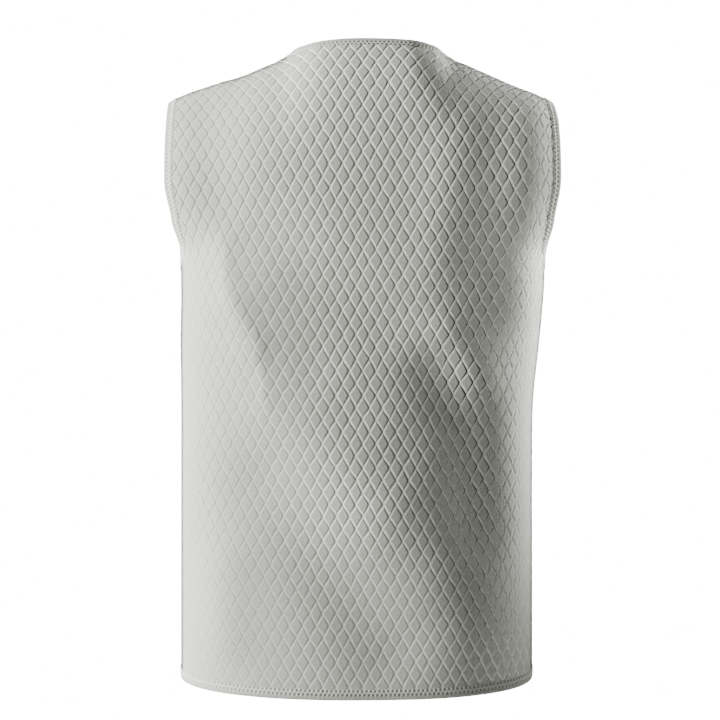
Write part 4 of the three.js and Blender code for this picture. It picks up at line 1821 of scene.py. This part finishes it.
@dataclass(frozen=True)
class EdgePaths:
    """The paths along the inside of the cloth's edges, and how finely they are followed."""

    form: VestForm
    front_neck_steps: int = 120
    front_neck_crowd: float = 1.8
    back_neck_steps: int = 80
    armhole_steps: int = 120
    armhole_rounds: int = 50
    short_of_side: float = 0.99999
    hem_steps: int = 160

    def neck(self) -> np.ndarray:
        """Follows the neckline up the left front, behind the neck and down the right front.

        Returns:
            Points along the edge.
        """
        form, runs = self.form, {}
        for side in Side:
            end = form.neck_side(side)
            end_z = float(form.ridge(Face.BACK, side, np.array(end)))
            up = 1 - (1 - np.linspace(0, 1, self.front_neck_steps)) ** self.front_neck_crowd
            x = between(form.centre_edge, end, up**form.v_neck_curve)
            front = self.on_form(Face.FRONT, side, x, between(form.v_neck_z, end_z, up))
            out = np.linspace(1, 0, self.back_neck_steps)[1:]
            z = between(form.back_neck_z, end_z, out**form.neck_curve)
            runs[side] = np.concatenate([front, self.on_form(Face.BACK, side, end * out, z)])
        return np.concatenate([runs[Side.LEFT], runs[Side.RIGHT][::-1][1:]])

    def on_form(self, face: Face, side: Side, x: np.ndarray, z: np.ndarray) -> np.ndarray:
        """Puts places of one quarter on the cloth.

        Args:
            face: back or front.
            side: left or right.
            x: distances from the centre.
            z: heights.

        Returns:
            A row for each point.
        """
        return np.stack([side.sign * x, face.sign * self.form.depth_at(face, side, x, z), z], axis=1)

    def armhole(self, side: Side) -> np.ndarray:
        """Follows an armhole up the back, over the shoulder and down the front.

        Args:
            side: the half.

        Returns:
            Points along the edge.
        """
        form, runs = self.form, []
        turn = np.linspace(0, math.pi, self.armhole_steps)
        for face, way in ((Face.BACK, turn[::-1]), (Face.FRONT, turn)):
            z = form.armhole_middle + form.armhole_half * np.cos(way)
            y = form.armhole_depth(face) * np.sin(way)
            low = np.zeros_like(z)
            high = form.level(side.value, np.minimum(z, YOKE_Z)) * self.short_of_side
            for _ in range(self.armhole_rounds):
                x = (low + high) / 2
                deep = form.depth_at(face, side, x, z) > y
                low, high = np.where(deep, x, low), np.where(deep, high, x)
            runs.append(np.stack([side.sign * low, face.sign * y, z], axis=1)[:-1])
        loop = np.concatenate(runs)
        return loop if side is Side.LEFT else loop[::-1]

    def hem_quarter(self, face: Face, side: Side) -> np.ndarray:
        """Follows one quarter of the hem from the centre line to the side.

        Args:
            face: back or front.
            side: left or right.

        Returns:
            Points along the edge.
        """
        form = self.form
        power = 2 / form.roundness
        half, deep = (float(form.level(way.value, form.hem_centre_z)) for way in (side, face))
        nearest = form.centre_edge if face is Face.FRONT else 0.0
        turn = np.linspace(math.asin((nearest / half) ** (1 / power)), math.pi / 2, self.hem_steps)
        x, y = half * np.sin(turn) ** power, deep * np.maximum(np.cos(turn), 0) ** power
        run = nearest + lengths_along(x, y)
        return np.stack([side.sign * x, face.sign * y, form.hem_height(run / run[-1])], axis=1)

    def hem(self) -> np.ndarray:
        """Follows the hem from the zip on the right, behind the body, to the zip on the left.

        Returns:
            Points along the edge.
        """
        front_left, front_right = (self.hem_quarter(Face.FRONT, side) for side in Side)
        back_left, back_right = (self.hem_quarter(Face.BACK, side) for side in Side)
        return np.concatenate([front_right, back_right[::-1][1:], back_left[1:], front_left[::-1][1:]])


@dataclass
class Vest:
    """The whole vest: its panels, bands and zip on one form."""

    form: VestForm = field(default_factory=VestForm)
    pieces: list[bpy.types.Object] = field(default_factory=list)
    quilted: KnitFinish = KnitFinish(
        "quilted_knit", colour=(0.36, 0.376, 0.328), grain_scale=900.0, grain_height=0.18, mottle=0.16
    )
    banded: KnitFinish = KnitFinish(
        "band_knit",
        colour=(0.38, 0.396, 0.346),
        grain_scale=1000.0,
        grain_height=0.12,
        mottle=0.1,
        edge_painted_shade=0.8,
    )
    plastic: PlasticFinish = PlasticFinish("zip_plastic", colour=(0.5, 0.52, 0.47), roughness=0.45)

    def build(self) -> None:
        """Builds and dresses every piece."""
        knit, smooth, plastic = (finish.material() for finish in (self.quilted, self.banded, self.plastic))
        panels = self.panels()
        built = [panel.build() for panel in panels]
        for panel, piece in zip(panels, built):
            self.dress(piece, panel.node, knit)
        edges = []
        for band in self.bands():
            edges.append(band.build())
            self.dress(edges[-1], band.node, smooth)
        closing = FrontZip(self.form)
        tape = closing.tape()
        self.dress(tape, "front_zip", smooth)
        for hard in (closing.teeth(), closing.slider(), closing.pull()):
            self.dress(hard, "front_zip", plastic)
        for panel, piece in zip(panels, built):
            LOG.info("%s: cut from %.3f by %.3f m, %.4f m2", piece.name, *panel.flat, panel.flat_area)

    def panels(self) -> list[QuiltedPanel]:
        """Lists the back panel and the two fronts.

        Returns:
            The panels, the back first.
        """
        quarters = {(face, side): ClothQuarter(self.form, face, side) for face in Face for side in Side}
        panels = [QuiltedPanel("back_quilt", "back_panel", Face.BACK, tuple(Side), self.form, quarters)]
        for side in Side:
            name, node = f"front_quilt_{side.value}", f"front_panel_{side.value}"
            panels.append(QuiltedPanel(name, node, Face.FRONT, (side,), self.form, quarters))
        return panels

    def dress(self, piece: bpy.types.Object, node: str, material: bpy.types.Material) -> None:
        """Gives a piece its finish and its place in the frame.

        Args:
            piece: the piece.
            node: the solid that it stands for.
            material: its finish.
        """
        piece.data.materials.append(material)
        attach(piece, ROOT)
        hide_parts(node)
        self.pieces.append(piece)
        LOG.info("%s: %d faces", piece.name, len(piece.data.polygons))

    def bands(self) -> list[EdgeBand]:
        """Lists the bands along the neck, the armholes and the hem.

        Returns:
            The bands.
        """
        paths = EdgePaths(self.form)
        # Each tone sets how dark the painted shade in the needle holes is.
        high, faint, plain = CoverStitch(rows=(-0.5, 3.1)), CoverStitch(tone=0.25), CoverStitch(tone=0.6)
        bands = [EdgeBand("neck_edge", "neck_band", paths.neck(), False, self.form, high)]
        for side in Side:
            name, node = f"armhole_edge_{side.value}", f"armhole_band_{side.value}"
            bands.append(EdgeBand(name, node, paths.armhole(side), True, self.form, faint))
        bands.append(EdgeBand("hem_edge", "hem_band", paths.hem(), False, self.form, plain))
        return bands


def bounds_of(objects: list[bpy.types.Object]) -> tuple[list[float], list[float]]:
    """Finds the box round objects whose place is in their meshes.

    Args:
        objects: the objects.

    Returns:
        The lowest and the highest corner, in metres.
    """
    low, high = np.full(3, np.inf), np.full(3, -np.inf)
    for piece in objects:
        points = np.empty(len(piece.data.vertices) * 3, np.float32)
        piece.data.vertices.foreach_get("co", points)
        points = points.reshape(-1, 3)
        low, high = np.minimum(low, points.min(0)), np.maximum(high, points.max(0))
    return low.tolist(), high.tolist()


CAD_BOUNDS = bounds_of(list(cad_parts.values()))


def main() -> None:
    """Builds the studio and the vest, and notes their sizes."""
    logging.basicConfig(level=logging.INFO, format="%(name)s: %(message)s")
    Studio().build()
    vest = Vest()
    vest.build()
    sizes = {"cad": CAD_BOUNDS, "visual": bounds_of(vest.pieces)}
    LOG.info("sizes %s", sizes)


if __name__ == "__main__":
    main()
